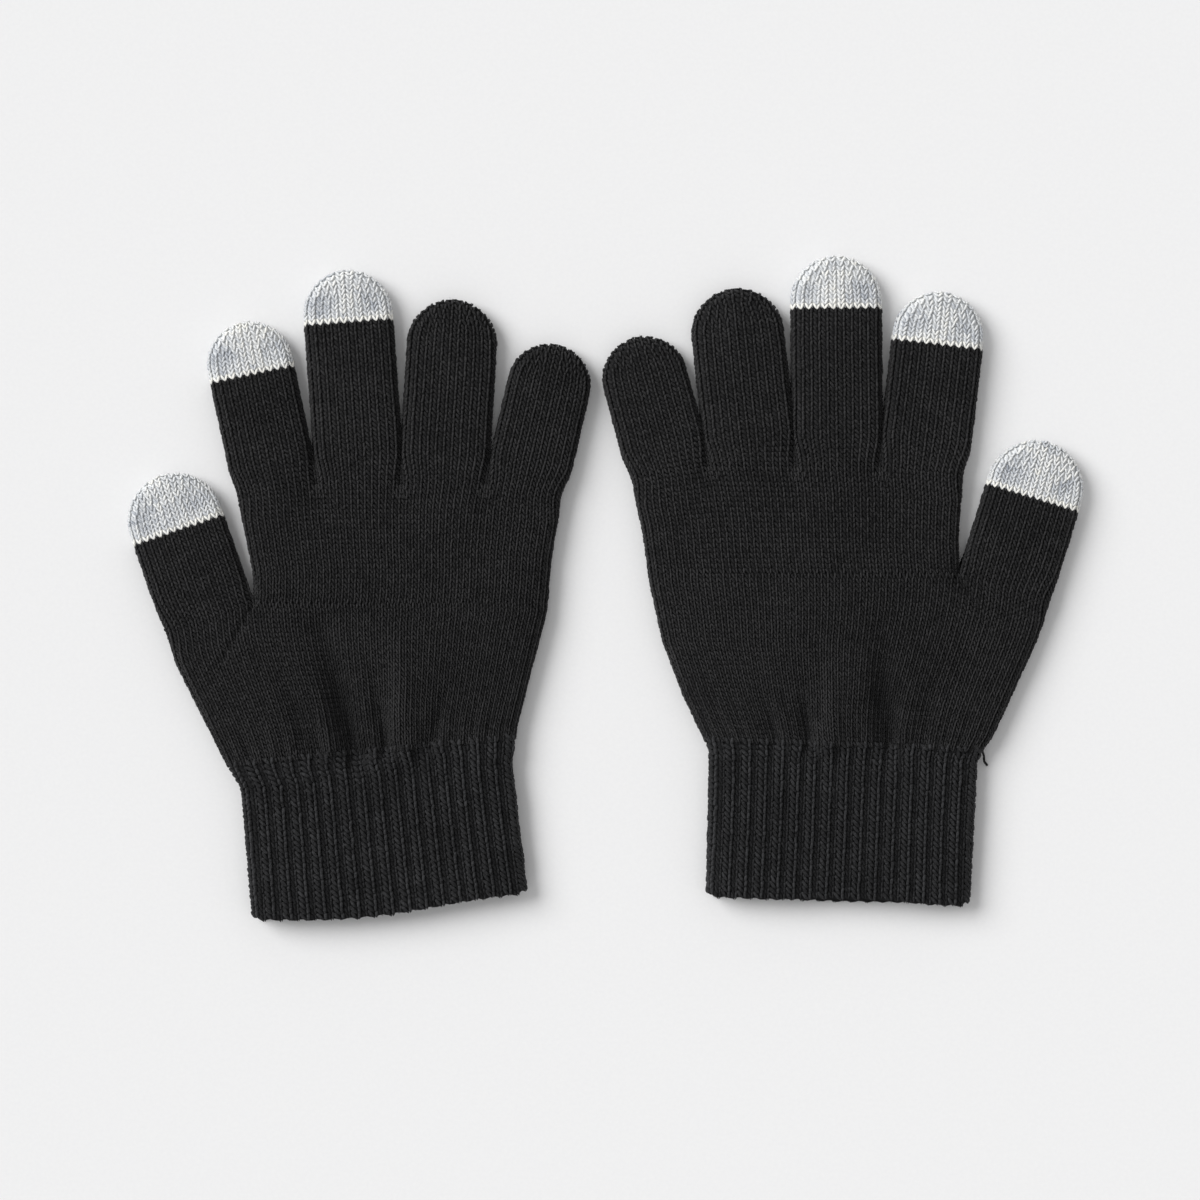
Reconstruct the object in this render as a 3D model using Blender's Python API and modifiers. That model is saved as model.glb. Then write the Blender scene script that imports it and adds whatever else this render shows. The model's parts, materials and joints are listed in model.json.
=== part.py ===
"""A pair of knitted touchscreen gloves, laid flat side by side with the palms up.

Metres, +Z up. The pair rests on z = 0 with the fingers towards +Y and the thumbs
outwards, and its origin is under the middle of the pair. Each glove is a flat knitted
pouch: an outline, filled to the laid thickness with rounded folds, hollowed to one
layer of knitting, and divided where the hand inside it bends and where the yarn changes.
"""

import math
from collections import namedtuple

import bmesh
import bpy
from mathutils import Matrix, Vector

MM = 0.001

# The knitting
THICKNESS = 10 * MM  # a laid glove, from the table to its upper face
WALL = 1.5 * MM  # one layer of knitting
FOLD_RADIUS = 4.2 * MM  # the rounded fold along every side
GAP = 0.3 * MM  # clearance between neighbouring pieces
CROTCH_RADIUS = 0.7 * MM  # where two fingers part
FOLD_STEPS = 2  # facets across an outer fold
LINING_STEPS = 2  # facets across an inner fold
ARC_STEP = math.radians(20)  # largest facet round a fingertip
MERGE = 0.001 * MM

# The bends, measured along a finger from the level where it parts from its neighbour
KNUCKLE = 8 * MM  # the straight line across the hand where the four fingers bend
FINGER_BEND = 0.45  # the finger's own bend, as a share of its length past the knuckle
THUMB_KNUCKLE = 5 * MM
THUMB_BEND = 0.33
FINGER_TIP = 17.5 * MM  # length of a conductive fingertip
THUMB_TIP = 19.5 * MM

# The cuff
CUFF_LENGTH = 51.5 * MM
HEM_RADIUS = 3 * MM  # rounded corners of the open end
ELASTIC_RADIUS = 0.35 * MM
ELASTIC_TURNS = 5
ELASTIC_INSET = 4 * MM  # from the cuff's two ends to the first and last turn

FAR = 30 * MM  # how far a cutter reaches past the glove
OUTSIDE = 6 * MM  # how far a cutter stands off a finger's free side

# A finger's base is its middle at the level where it parts from its neighbour. It leans
# by an angle from +Y towards +X, and its length runs from that level to its tip.
Finger = namedtuple("Finger", "x y lean length width")

# A glove is described with its thumb towards -X. The crotch is where thumb and hand
# part, and index_side, thumb_side and little_side are points down the sides of the palm.
# The hem is the cuff's open end, and the cuff leans from it and narrows to a waist.
Glove = namedtuple(
    "Glove",
    "fingers crotch index_side thumb_side little_side hem hem_width cuff_lean waist_height waist_width",
)

LEFT = Glove(
    fingers={
        "thumb": Finger(-131.5, -7, -19, 47.6, 30.8),
        "index": Finger(-108.6, 33, -12, 56.2, 28),
        "middle": Finger(-81, 33, -4.2, 72.3, 29.2),
        "ring": Finger(-54, 33.3, 3.4, 62.3, 29.2),
        "little": Finger(-27.1, 33.6, 13, 48.3, 27),
    },
    crotch=(-115.8, -3.8),
    index_side=((-116.6, 7), (-119.4, 21), (-122, 30.5)),
    thumb_side=((-148.3, -6.4), (-141, -24.8), (-131.9, -43.1), (-124.5, -58)),
    little_side=((-15.1, 30.3), (-18.4, 12), (-20, -6.4), (-24.9, -24.8), (-29.5, -43.1)),
    hem=(-71.5, -104.3),
    hem_width=90.2,
    cuff_lean=5.6,
    waist_height=43.5,
    waist_width=88.8,
)

RIGHT = Glove(
    fingers={
        "thumb": Finger(-131.2, 4.4, -17, 46.3, 31.4),
        "index": Finger(-103.2, 39.5, -6.6, 58.9, 29.8),
        "middle": Finger(-75.3, 39.5, 0.5, 70.4, 29.8),
        "ring": Finger(-47.7, 38.5, 6.4, 61, 30),
        "little": Finger(-21.3, 35.6, 15, 49.1, 27.7),
    },
    crotch=(-114.8, 6.1),
    index_side=((-114.9, 14), (-115.4, 25.7), (-117.1, 39.5)),
    thumb_side=((-147.3, 2.8), (-140.7, -15.6), (-132.5, -33.9), (-126.6, -47)),
    little_side=((-7.9, 34.9), (-11.2, 21.2), (-13.8, 2.8), (-17.7, -15.6), (-24.6, -33.9)),
    hem=(-75.3, -102.5),
    hem_width=85.8,
    cuff_lean=2.0,
    waist_height=47.7,
    waist_width=86.4,
)

CONDUCTIVE = ("thumb", "index", "middle")  # the fingers with a touchscreen tip

# Colour, roughness and metallic value of each material
FINISHES = {
    "black_knit": ((0.014, 0.014, 0.015), 0.95, 0.0),
    "conductive_knit": ((0.52, 0.53, 0.55), 0.85, 0.0),
    "elastic_thread": ((0.05, 0.05, 0.05), 0.6, 0.0),
}

# A corner of an outline. Walking clockwise round a glove, the radius is positive where
# the outline turns round a centre on its right and negative where it is on its left.
Corner = namedtuple("Corner", "at radius")


def clear_scene():
    for obj in list(bpy.data.objects):
        bpy.data.objects.remove(obj, do_unlink=True)


def material(name):
    """The named material, a plain stand-in for the yarn's colour and roughness."""
    if name in bpy.data.materials:
        return bpy.data.materials[name]
    colour, roughness, metallic = FINISHES[name]
    made = bpy.data.materials.new(name)
    made.use_nodes = True
    shader = made.node_tree.nodes["Principled BSDF"]
    shader.inputs["Base Color"].default_value = (*colour, 1)
    shader.inputs["Roughness"].default_value = roughness
    shader.inputs["Metallic"].default_value = metallic
    return made


def along(lean):
    """Unit vector that leans by this many degrees from +Y towards +X."""
    return Vector((math.sin(math.radians(lean)), math.cos(math.radians(lean))))


def across(lean):
    """Unit vector to the right of along(lean)."""
    return Vector((math.cos(math.radians(lean)), -math.sin(math.radians(lean))))


def base(finger):
    return Vector((finger.x, finger.y)) * MM


def on_axis(finger, station):
    return base(finger) + along(finger.lean) * station


def cuff_frame(glove):
    """The middle of the open end, the way up the cuff, and the way across it."""
    return Vector(glove.hem) * MM, along(-glove.cuff_lean), across(-glove.cuff_lean)


def crossing(line, other):
    """Where two lines meet. A line is a point and a direction."""
    (p, d), (q, e) = line, other
    share = (q - p).cross(e) / d.cross(e)
    return p + d * share


# Outlines


def corners(glove):
    """The glove's outline as corners, clockwise from the thumb side of the open end."""
    hem, up, right = cuff_frame(glove)
    half_hem, half_waist = glove.hem_width * MM / 2, glove.waist_width * MM / 2
    waist = hem + up * (glove.waist_height * MM)
    fingers = list(glove.fingers.values())
    found = [Corner(hem - up * FAR / 2 - right * half_hem, 0), Corner(hem - right * half_hem, 0)]
    found.append(Corner(waist - right * half_waist, 0))
    found += [Corner(Vector(point) * MM, 0) for point in reversed(glove.thumb_side)]
    for number, finger in enumerate(fingers):
        radius = finger.width * MM / 2
        found.append(Corner(on_axis(finger, finger.length * MM - radius), radius))
        if number == 0:
            found.append(Corner(Vector(glove.crotch) * MM, -CROTCH_RADIUS))
            found += [Corner(Vector(point) * MM, 0) for point in glove.index_side]
        elif number < len(fingers) - 1:
            found.append(Corner((base(finger) + base(fingers[number + 1])) / 2, -CROTCH_RADIUS))
    found += [Corner(Vector(point) * MM, 0) for point in glove.little_side]
    found += [Corner(waist + right * half_waist, 0), Corner(hem + right * half_hem, 0)]
    return found + [Corner(hem - up * FAR / 2 + right * half_hem, 0)]


def heading(here, there):
    """Direction of the straight run that touches two corners."""
    run = there.at - here.at
    step = (here.radius - there.radius) / run.length
    return math.atan2(run.y, run.x) - math.asin(step)


def outline(glove, inset=0.0):
    """Points of the outline: straight runs between its corners, and arcs round them."""
    found = []
    ring = corners(glove)
    for number, corner in enumerate(ring):
        arrive = heading(ring[number - 1], corner)
        leave = heading(corner, ring[(number + 1) % len(ring)])
        turn = (leave - arrive + math.pi) % (2 * math.pi) - math.pi
        if corner.radius == 0:
            middle = arrive + turn / 2
            reach = -inset / math.cos(turn / 2)
            found.append(corner.at + Vector((-math.sin(middle), math.cos(middle))) * reach)
            continue
        if turn * corner.radius > 0:
            turn -= math.copysign(2 * math.pi, corner.radius)
        steps = max(2, math.ceil(abs(turn) / ARC_STEP))
        for step in range(steps + 1):
            angle = arrive + turn * step / steps
            out = Vector((-math.sin(angle), math.cos(angle)))
            found.append(corner.at + out * (corner.radius - inset))
    return found


def rounded_quad(points, radius, facets=4):
    """A four-sided outline whose first two corners are rounded."""
    found = []
    for number, point in enumerate(points):
        if number > 1:
            found.append(point)
            continue
        before = (points[number - 1] - point).normalized() * radius
        after = (points[number + 1] - point).normalized() * radius
        for step in range(facets + 1):
            angle = math.pi / 2 * step / facets
            found.append(point + before * (1 - math.sin(angle)) + after * (1 - math.cos(angle)))
    return found


# Solids


def flat_solid(name, points, low, high, collection):
    """A closed prism: the outline from one height to another."""
    curve = bpy.data.curves.new(name, "CURVE")
    curve.dimensions = "2D"
    curve.fill_mode = "BOTH"
    curve.extrude = (high - low) / 2
    spline = curve.splines.new("POLY")
    spline.points.add(len(points) - 1)
    for place, point in zip(spline.points, points):
        place.co = (point.x, point.y, 0, 1)
    spline.use_cyclic_u = True
    drawn = bpy.data.objects.new(name + "_outline", curve)
    drawn.location.z = (low + high) / 2
    bpy.context.scene.collection.objects.link(drawn)
    bpy.context.view_layer.update()
    mesh = bpy.data.meshes.new_from_object(drawn.evaluated_get(bpy.context.evaluated_depsgraph_get()))
    mesh.transform(drawn.matrix_world)
    bpy.data.objects.remove(drawn, do_unlink=True)
    return mesh_object(name, one_face_caps(mesh), collection)


def one_face_caps(mesh):
    """The prism with its caps joined to its sides, each cap one face, facing outwards."""
    work = bmesh.new()
    work.from_mesh(mesh)
    bmesh.ops.remove_doubles(work, verts=work.verts, dist=MERGE)
    for way in (1, -1):
        cap = [face for face in work.faces if face.normal.z * way > 0.5]
        bmesh.ops.dissolve_faces(work, faces=cap)
    bmesh.ops.recalc_face_normals(work, faces=work.faces)
    work.to_mesh(mesh)
    work.free()
    return mesh


def mesh_object(name, mesh, collection):
    mesh.name = name
    made = bpy.data.objects.new(name, mesh)
    collection.objects.link(made)
    return made


def add_fold(obj, width, steps):
    """Rounds the rims of a flat solid, as knitting folds over at its sides."""
    fold = obj.modifiers.new("fold", "BEVEL")
    fold.width = width
    fold.segments = steps
    fold.limit_method = "ANGLE"
    fold.angle_limit = math.radians(50)
    fold.use_clamp_overlap = False


def add_cut(obj, cutter, operation):
    cut = obj.modifiers.new(operation.lower() + "_" + cutter.name, "BOOLEAN")
    cut.operation = operation
    cut.object = cutter
    cut.solver = "EXACT"


def baked(obj):
    """The object's mesh as its modifiers leave it."""
    bpy.context.view_layer.update()
    graph = bpy.context.evaluated_depsgraph_get()
    return bpy.data.meshes.new_from_object(obj.evaluated_get(graph))


def as_cutter(obj):
    obj.hide_render = True
    obj.display_type = "WIRE"
    return obj


def mirrored(points, side):
    """Points of a glove in the pair's frame: the right glove is described mirrored."""
    return [Vector((point.x * side, point.y)) for point in points]


def pouch(name, glove, place, cutters):
    """One whole glove as a hollow pouch, before it is divided."""
    blank = flat_solid(name + "_blank", place(outline(glove)), 0, THICKNESS, cutters)
    add_fold(blank, FOLD_RADIUS, FOLD_STEPS)
    hollow = flat_solid(
        name + "_hollow", place(outline(glove, WALL)), WALL, THICKNESS - WALL, cutters
    )
    add_fold(hollow, FOLD_RADIUS - WALL, LINING_STEPS)
    as_cutter(hollow)
    as_cutter(blank)
    add_cut(blank, hollow, "DIFFERENCE")
    return baked(blank)


# Dividing a glove


def bends(name, glove):
    """Where a finger bends, from its base: its knuckle and its own bend."""
    finger = glove.fingers[name]
    if name == "thumb":
        return THUMB_KNUCKLE, THUMB_KNUCKLE + THUMB_BEND * (finger.length * MM - THUMB_KNUCKLE)
    knuckle = (knuckle_line(glove) - finger.y * MM) / math.cos(math.radians(finger.lean))
    return knuckle, knuckle + FINGER_BEND * (finger.length * MM - knuckle)


def knuckle_line(glove):
    """The height in Y of the line across the hand where its four fingers bend."""
    return max(finger.y for finger in glove.fingers.values()) * MM + KNUCKLE


def cut_lines(name, glove):
    """The lines that divide a finger, from its base out: each a point and a direction."""
    finger = glove.fingers[name]
    knuckle, bend = bends(name, glove)
    square = across(finger.lean)
    first = square if name == "thumb" else Vector((1, 0))
    found = [(on_axis(finger, knuckle), first), (on_axis(finger, bend), square)]
    if name in CONDUCTIVE:
        tip = THUMB_TIP if name == "thumb" else FINGER_TIP
        found.append((on_axis(finger, finger.length * MM - tip), square))
    found.append((on_axis(finger, finger.length * MM + OUTSIDE), square))
    return found


def side_lines(name, glove):
    """Lines in the clear on the two sides of a finger, between it and its neighbours."""
    names = list(glove.fingers)
    number = names.index(name)
    finger = glove.fingers[name]
    stand_off = finger.width * MM / 2 + OUTSIDE
    found = []
    for step in (-1, 1):
        beside = number + step
        first, last = min(number, beside), max(number, beside)
        free = beside < 0 or beside >= len(names) or (name == "index" and step < 0)
        if free:
            found.append((base(finger) + across(finger.lean) * stand_off * step, along(finger.lean)))
            continue
        pair = [glove.fingers[names[first]], glove.fingers[names[last]]]
        parting = Vector(glove.crotch) * MM if first == 0 else (base(pair[0]) + base(pair[1])) / 2
        found.append((parting, along((pair[0].lean + pair[1].lean) / 2)))
    return found


def moved(line, step, way):
    return line[0] + way * step, line[1]


def segment(name, glove, first, last, grow=0.0):
    """The four corners of the field between two cut lines of a finger."""
    lines = cut_lines(name, glove)
    way = along(glove.fingers[name].lean)
    low = moved(lines[first], GAP / 2 - grow, way)
    high = moved(lines[last], -GAP / 2, way)
    left, right = side_lines(name, glove)
    return [crossing(low, left), crossing(high, left), crossing(high, right), crossing(low, right)]


def divide(label, mesh, field, collection, cutters, yarn):
    """The piece of a pouch that lies inside a field."""
    cutter = flat_solid(label + "_field", field, -FAR, THICKNESS + FAR, cutters)
    as_cutter(cutter)
    piece = mesh_object(label, mesh.copy(), collection)
    add_cut(piece, cutter, "INTERSECT")
    return finished(piece, yarn)


def finished(piece, yarn):
    piece.data.materials.clear()
    piece.data.materials.append(material(yarn))
    piece.data.shade_smooth()
    piece.data.set_sharp_from_angle(angle=math.radians(40))
    return piece


def pivot(name, point, height, parent, collection):
    """An empty on a joint's axis, which the pieces that turn about it hang from."""
    made = bpy.data.objects.new(name, None)
    made.empty_display_size = 5 * MM
    made.matrix_world = Matrix.Translation((point.x, point.y, height))
    collection.objects.link(made)
    if parent:
        bpy.context.view_layer.update()
        made.parent = parent
        made.matrix_parent_inverse = parent.matrix_world.inverted()
    return made


def hang(piece, parent):
    bpy.context.view_layer.update()
    piece.parent = parent
    piece.matrix_parent_inverse = parent.matrix_world.inverted()


def make_finger(side, name, glove, place, mesh, palm, collection, cutters):
    """One finger's pieces, hanging from the pivots at its knuckle and at its bend."""
    label = side + "_" + name
    lines = cut_lines(name, glove)
    knuckle = pivot(label + "_knuckle", place([lines[0][0]])[0], THICKNESS, palm, collection)
    bend = pivot(label + "_bend", place([lines[1][0]])[0], THICKNESS, knuckle, collection)
    parts = [("_lower", knuckle, "black_knit"), ("_upper", bend, "black_knit")]
    if name in CONDUCTIVE:
        parts.append(("_tip", bend, "conductive_knit"))
    for number, (ending, parent, yarn) in enumerate(parts):
        field = place(segment(name, glove, number, number + 1))
        hang(divide(label + ending, mesh, field, collection, cutters, yarn), parent)


def cuff_line(glove, step):
    """The line across the glove where the cuff begins, moved up by a step."""
    hem, up, right = cuff_frame(glove)
    return hem + up * (CUFF_LENGTH + step), right


def make_hand(side, glove, place, mesh, palm, collection, cutters):
    """The palm and back, with the roots of the fingers, open at the wrist."""
    hand = mesh_object(side + "_hand", mesh.copy(), collection)
    for name in glove.fingers:
        field = segment(name, glove, 0, -1, grow=GAP)
        cutter = flat_solid(f"{side}_{name}_off", place(field), -FAR, THICKNESS + FAR, cutters)
        add_cut(hand, as_cutter(cutter), "DIFFERENCE")
    hem, up, right = cuff_frame(glove)
    wide = right * (glove.hem_width * MM)
    top, _ = cuff_line(glove, GAP / 2)
    low = hem - up * FAR
    field = place([low - wide, top - wide, top + wide, low + wide])
    cutter = flat_solid(side + "_cuff_off", field, -FAR, THICKNESS + FAR, cutters)
    add_cut(hand, as_cutter(cutter), "DIFFERENCE")
    hang(finished(hand, "black_knit"), palm)


def make_cuff(side, glove, place, mesh, wrist, collection, cutters):
    """The ribbed cuff, a straight tube that is open at both ends."""
    hem, up, right = cuff_frame(glove)
    half = right * (glove.hem_width * MM / 2)
    top, _ = cuff_line(glove, -GAP / 2)
    wide = right * (glove.hem_width * MM)
    field = rounded_quad([hem + half, hem - half, top - wide, top + wide], HEM_RADIUS)
    piece = divide(side + "_cuff", mesh, place(field), collection, cutters, "black_knit")
    hang(piece, wrist)


def elastic_route(glove, place):
    """Centre line of the elastic thread, wound round inside the cuff from end to end."""
    hem, up, right = cuff_frame(glove)
    stand_off = WALL + GAP + ELASTIC_RADIUS
    half_height = THICKNESS / 2 - stand_off
    corner = FOLD_RADIUS - stand_off
    quarters = ((1, 1, 0), (-1, 1, 90), (-1, -1, 180), (1, -1, 270))
    steps = (0, 45, 90)
    total = ELASTIC_TURNS * len(quarters) * len(steps)
    found = []
    for number in range(total):
        x_sign, z_sign, start = quarters[(number // len(steps)) % len(quarters)]
        angle = math.radians(start + steps[number % len(steps)])
        share = number / (total - 1)
        height = ELASTIC_INSET + (CUFF_LENGTH - 2 * ELASTIC_INSET) * share
        level = min(1, height / (glove.waist_height * MM))
        width = glove.hem_width * (1 - level) + glove.waist_width * level
        half_width = width * MM / 2 - stand_off
        side = x_sign * (half_width - corner) + corner * math.cos(angle)
        rise = z_sign * (half_height - corner) + corner * math.sin(angle)
        spot = place([hem + up * height + right * side])[0]
        found.append(Vector((spot.x, spot.y, THICKNESS / 2 + rise)))
    return found


def make_elastic(side, glove, place, wrist, collection):
    """The covered rubber thread that is laid into the cuff and makes it grip."""
    curve = bpy.data.curves.new(side + "_cuff_elastic", "CURVE")
    curve.dimensions = "3D"
    curve.bevel_depth = ELASTIC_RADIUS
    curve.bevel_resolution = 1
    curve.use_fill_caps = True
    spline = curve.splines.new("POLY")
    route = elastic_route(glove, place)
    spline.points.add(len(route) - 1)
    for point, spot in zip(spline.points, route):
        point.co = (*spot, 1)
    curve.materials.append(material("elastic_thread"))
    thread = bpy.data.objects.new(side + "_cuff_elastic", curve)
    collection.objects.link(thread)
    hang(thread, wrist)


def make_glove(side, glove, place, collection, cutters):
    mesh = pouch(side, glove, place, cutters)
    hem, up, _ = cuff_frame(glove)
    palm = pivot(side + "_palm", place([hem + up * CUFF_LENGTH * 2])[0], 0, None, collection)
    wrist_at = place([cuff_line(glove, 0)[0]])[0]
    wrist = pivot(side + "_wrist", wrist_at, THICKNESS, palm, collection)
    make_hand(side, glove, place, mesh, palm, collection, cutters)
    make_cuff(side, glove, place, mesh, wrist, collection, cutters)
    make_elastic(side, glove, place, wrist, collection)
    for name in glove.fingers:
        make_finger(side, name, glove, place, mesh, palm, collection, cutters)


def pair_middle():
    """The middle of the pair's footprint, which becomes the origin."""
    spots = mirrored(outline(LEFT), 1) + mirrored(outline(RIGHT), -1)
    kept = [spot for spot in spots if spot.y > LEFT.hem[1] * MM]
    hem, _, right = cuff_frame(LEFT)
    low = (hem - right * LEFT.hem_width * MM / 2).y
    return Vector(
        (
            (min(spot.x for spot in kept) + max(spot.x for spot in kept)) / 2,
            (low + max(spot.y for spot in kept)) / 2,
        )
    )


def main():
    clear_scene()
    scene = bpy.context.scene
    gloves = bpy.data.collections.new("touchscreen_gloves")
    cutters = bpy.data.collections.new("cutters")
    scene.collection.children.link(gloves)
    scene.collection.children.link(cutters)
    middle = pair_middle()
    for side, glove, hand in (("left", LEFT, 1), ("right", RIGHT, -1)):

        def place(points, hand=hand):
            return [point - middle for point in mirrored(points, hand)]

        make_glove(side, glove, place, gloves, cutters)
    bpy.context.view_layer.update()


main()
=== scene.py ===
# %% [markdown]
# # A pair of knitted touchscreen gloves
# Two black gloves lie flat, side by side, with a ribbed cuff each and pale fingertips. A glove
# machine knits each of them in one go, so nearly everything that shows is one thing repeated: a
# stitch. This lesson makes a smooth glove surface first, then lays thousands of real stitches on it
# with Geometry Nodes. The sizes come from the CAD frame, so the stitches end where the CAD does.

# %% The frame
import bmesh
import bpy
import json
import math
import numpy as np
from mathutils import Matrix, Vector, noise


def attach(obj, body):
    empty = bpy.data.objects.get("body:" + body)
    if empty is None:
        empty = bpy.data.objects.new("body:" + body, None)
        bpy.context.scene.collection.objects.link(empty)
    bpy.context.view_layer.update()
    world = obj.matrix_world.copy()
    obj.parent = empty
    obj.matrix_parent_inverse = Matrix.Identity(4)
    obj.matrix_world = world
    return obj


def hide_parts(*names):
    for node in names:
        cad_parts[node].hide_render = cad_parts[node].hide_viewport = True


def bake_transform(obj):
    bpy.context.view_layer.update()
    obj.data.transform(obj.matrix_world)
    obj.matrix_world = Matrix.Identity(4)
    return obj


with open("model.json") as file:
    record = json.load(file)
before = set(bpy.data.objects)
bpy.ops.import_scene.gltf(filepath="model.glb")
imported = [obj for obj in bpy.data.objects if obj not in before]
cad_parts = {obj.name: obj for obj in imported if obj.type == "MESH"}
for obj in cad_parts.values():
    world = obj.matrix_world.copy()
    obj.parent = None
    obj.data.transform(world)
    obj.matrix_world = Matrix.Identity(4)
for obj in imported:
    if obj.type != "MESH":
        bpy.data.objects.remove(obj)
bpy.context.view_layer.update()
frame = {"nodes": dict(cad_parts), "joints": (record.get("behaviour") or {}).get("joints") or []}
joints = {joint["name"]: joint for joint in frame["joints"]}
MM = 0.001
SIDES = ("left", "right")
FINGERS = ("index", "middle", "ring", "little")
TIPPED = ("thumb", "index", "middle")

# %% [markdown]
# ## Camera, table and light
# The gloves are seen from straight above, on a plain pale table, in soft light from the upper left.
# A long lens far away keeps the cuffs and fingertips from leaning outwards. One sun lamp with a wide
# angle lights the whole table evenly and gives the soft shadow on the right of each glove. An area lamp
# would fade towards the table's edge. A pale world fills the shadow in, as a white room would.

# %% Camera, table and light
VIEW_WIDTH = 393.6 * MM
VIEW_CENTRE = (-1.8 * MM, -3.7 * MM)
LENS = 110
SENSOR = 36
TABLE_SIDE = 6.0
TABLE_DROP = 0.2 * MM
FOCUS_HEIGHT = 4 * MM
WINDOW_LIGHT = 2.68
WINDOW_SPREAD = 40
WINDOW_SIDE = (-0.9, 0.5, 0.8)
ROOM_LIGHT = 0.5

scene = bpy.context.scene
scene.view_settings.view_transform = "Standard"


def add_camera():
    data = bpy.data.cameras.new("overhead_camera")
    data.lens, data.sensor_width = LENS, SENSOR
    camera = bpy.data.objects.new("overhead_camera", data)
    camera.location = (*VIEW_CENTRE, FOCUS_HEIGHT + VIEW_WIDTH * LENS / SENSOR)
    scene.collection.objects.link(camera)
    scene.camera = camera


def add_sun(name, strength, spread, source):
    data = bpy.data.lights.new(name, "SUN")
    data.energy, data.angle = strength, math.radians(spread)
    lamp = bpy.data.objects.new(name, data)
    lamp.location = source
    lamp.rotation_euler = (-Vector(source)).to_track_quat("-Z", "Y").to_euler()
    scene.collection.objects.link(lamp)


def add_world(strength):
    world = bpy.data.worlds.new("white_room")
    world.use_nodes = True
    world.node_tree.nodes["Background"].inputs["Color"].default_value = (1, 1, 1, 1)
    world.node_tree.nodes["Background"].inputs["Strength"].default_value = strength
    scene.world = world


def add_table():
    half = TABLE_SIDE / 2
    mesh = bpy.data.meshes.new("table")
    corners = [(-half, -half, -TABLE_DROP), (half, -half, -TABLE_DROP),
               (half, half, -TABLE_DROP), (-half, half, -TABLE_DROP)]
    mesh.from_pydata(corners, [], [(0, 1, 2, 3)])
    table = bpy.data.objects.new("table", mesh)
    scene.collection.objects.link(table)
    return table


add_camera()
add_sun("window_light", WINDOW_LIGHT, WINDOW_SPREAD, WINDOW_SIDE)
add_world(ROOM_LIGHT)
table = add_table()
print("camera height", round(scene.camera.location.z, 3), "m")

# %% [markdown]
# ## Node materials in one short form
# Every material here is a small node tree. It could be wired line by line, but then the links hide the
# idea. This helper makes a node, sets its plain values and links its inputs, so a tree reads as a recipe.

# %% A helper for node trees


def node(tree, kind, inputs=None, **settings):
    made = tree.nodes.new(kind)
    for key, value in settings.items():
        setattr(made, key, value)
    for key, value in (inputs or {}).items():
        if isinstance(value, bpy.types.NodeSocket):
            tree.links.new(value, made.inputs[key])
        else:
            made.inputs[key].default_value = value
    return made


def blank_material(name):
    made = bpy.data.materials.new(name)
    made.use_nodes = True
    made.node_tree.nodes.clear()
    return made, made.node_tree


def ramp(tree, factor, *stops):
    made = node(tree, "ShaderNodeValToRGB", {"Fac": factor})
    marks = made.color_ramp.elements
    while len(marks) < len(stops):
        marks.new(1.0)
    for mark, (place, colour) in zip(marks, stops):
        mark.position, mark.color = place, (*colour, 1)
    return made.outputs["Color"]


print("materials so far:", [made.name for made in bpy.data.materials])

# %% [markdown]
# ## The table
# The gloves lie on matt white paper. A flat white would look like a cut-out, so a fine noise varies the
# white by a hair and gives it a grain that only shows close by.

# %% The table's matt white paper
PAPER_GRAIN = 900.0


def table_paper():
    made, tree = blank_material("table_paper")
    place = node(tree, "ShaderNodeTexCoord").outputs["Object"]
    grain = node(tree, "ShaderNodeTexNoise", {"Vector": place, "Scale": PAPER_GRAIN, "Detail": 4.0})
    colour = ramp(tree, grain.outputs["Fac"],
                  (0.3, (0.845, 0.845, 0.85)), (0.7, (0.865, 0.865, 0.868)))
    bump = node(tree, "ShaderNodeBump", {"Height": grain.outputs["Fac"], "Strength": 0.03,
                                         "Distance": 0.2 * MM})
    shader = node(tree, "ShaderNodeBsdfPrincipled", {"Base Color": colour, "Roughness": 0.9,
                                                     "Normal": bump.outputs["Normal"]})
    shader.inputs["Specular IOR Level"].default_value = 0.2
    node(tree, "ShaderNodeOutputMaterial", {"Surface": shader.outputs["BSDF"]})
    return made


table.data.materials.append(table_paper())
print("table paper on")

# %% [markdown]
# ## Yarn
# The black yarn is soft spun acrylic: each strand shows its twist, takes light in a dull sheen, and
# no two stitches are quite the same black. The conductive yarn is a heather of white and blue-grey
# fibres. Each stitch carries its own `tone`, a number from 0 to 1, and its two legs carry a `leg` of 0
# and 1. The strands carry a UV map that runs round and along them, so the twist follows the yarn
# wherever it goes. A flat fabric picture would be quicker, but it would slide at every bend.

# %% Yarn materials
TWISTS = 5.0
TWIST_SLANT = 0.6
FIBRE_SIZE = 1500.0
CLOUD_SIZE = 55.0
CLOUD_SHARE = 0.55


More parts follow.
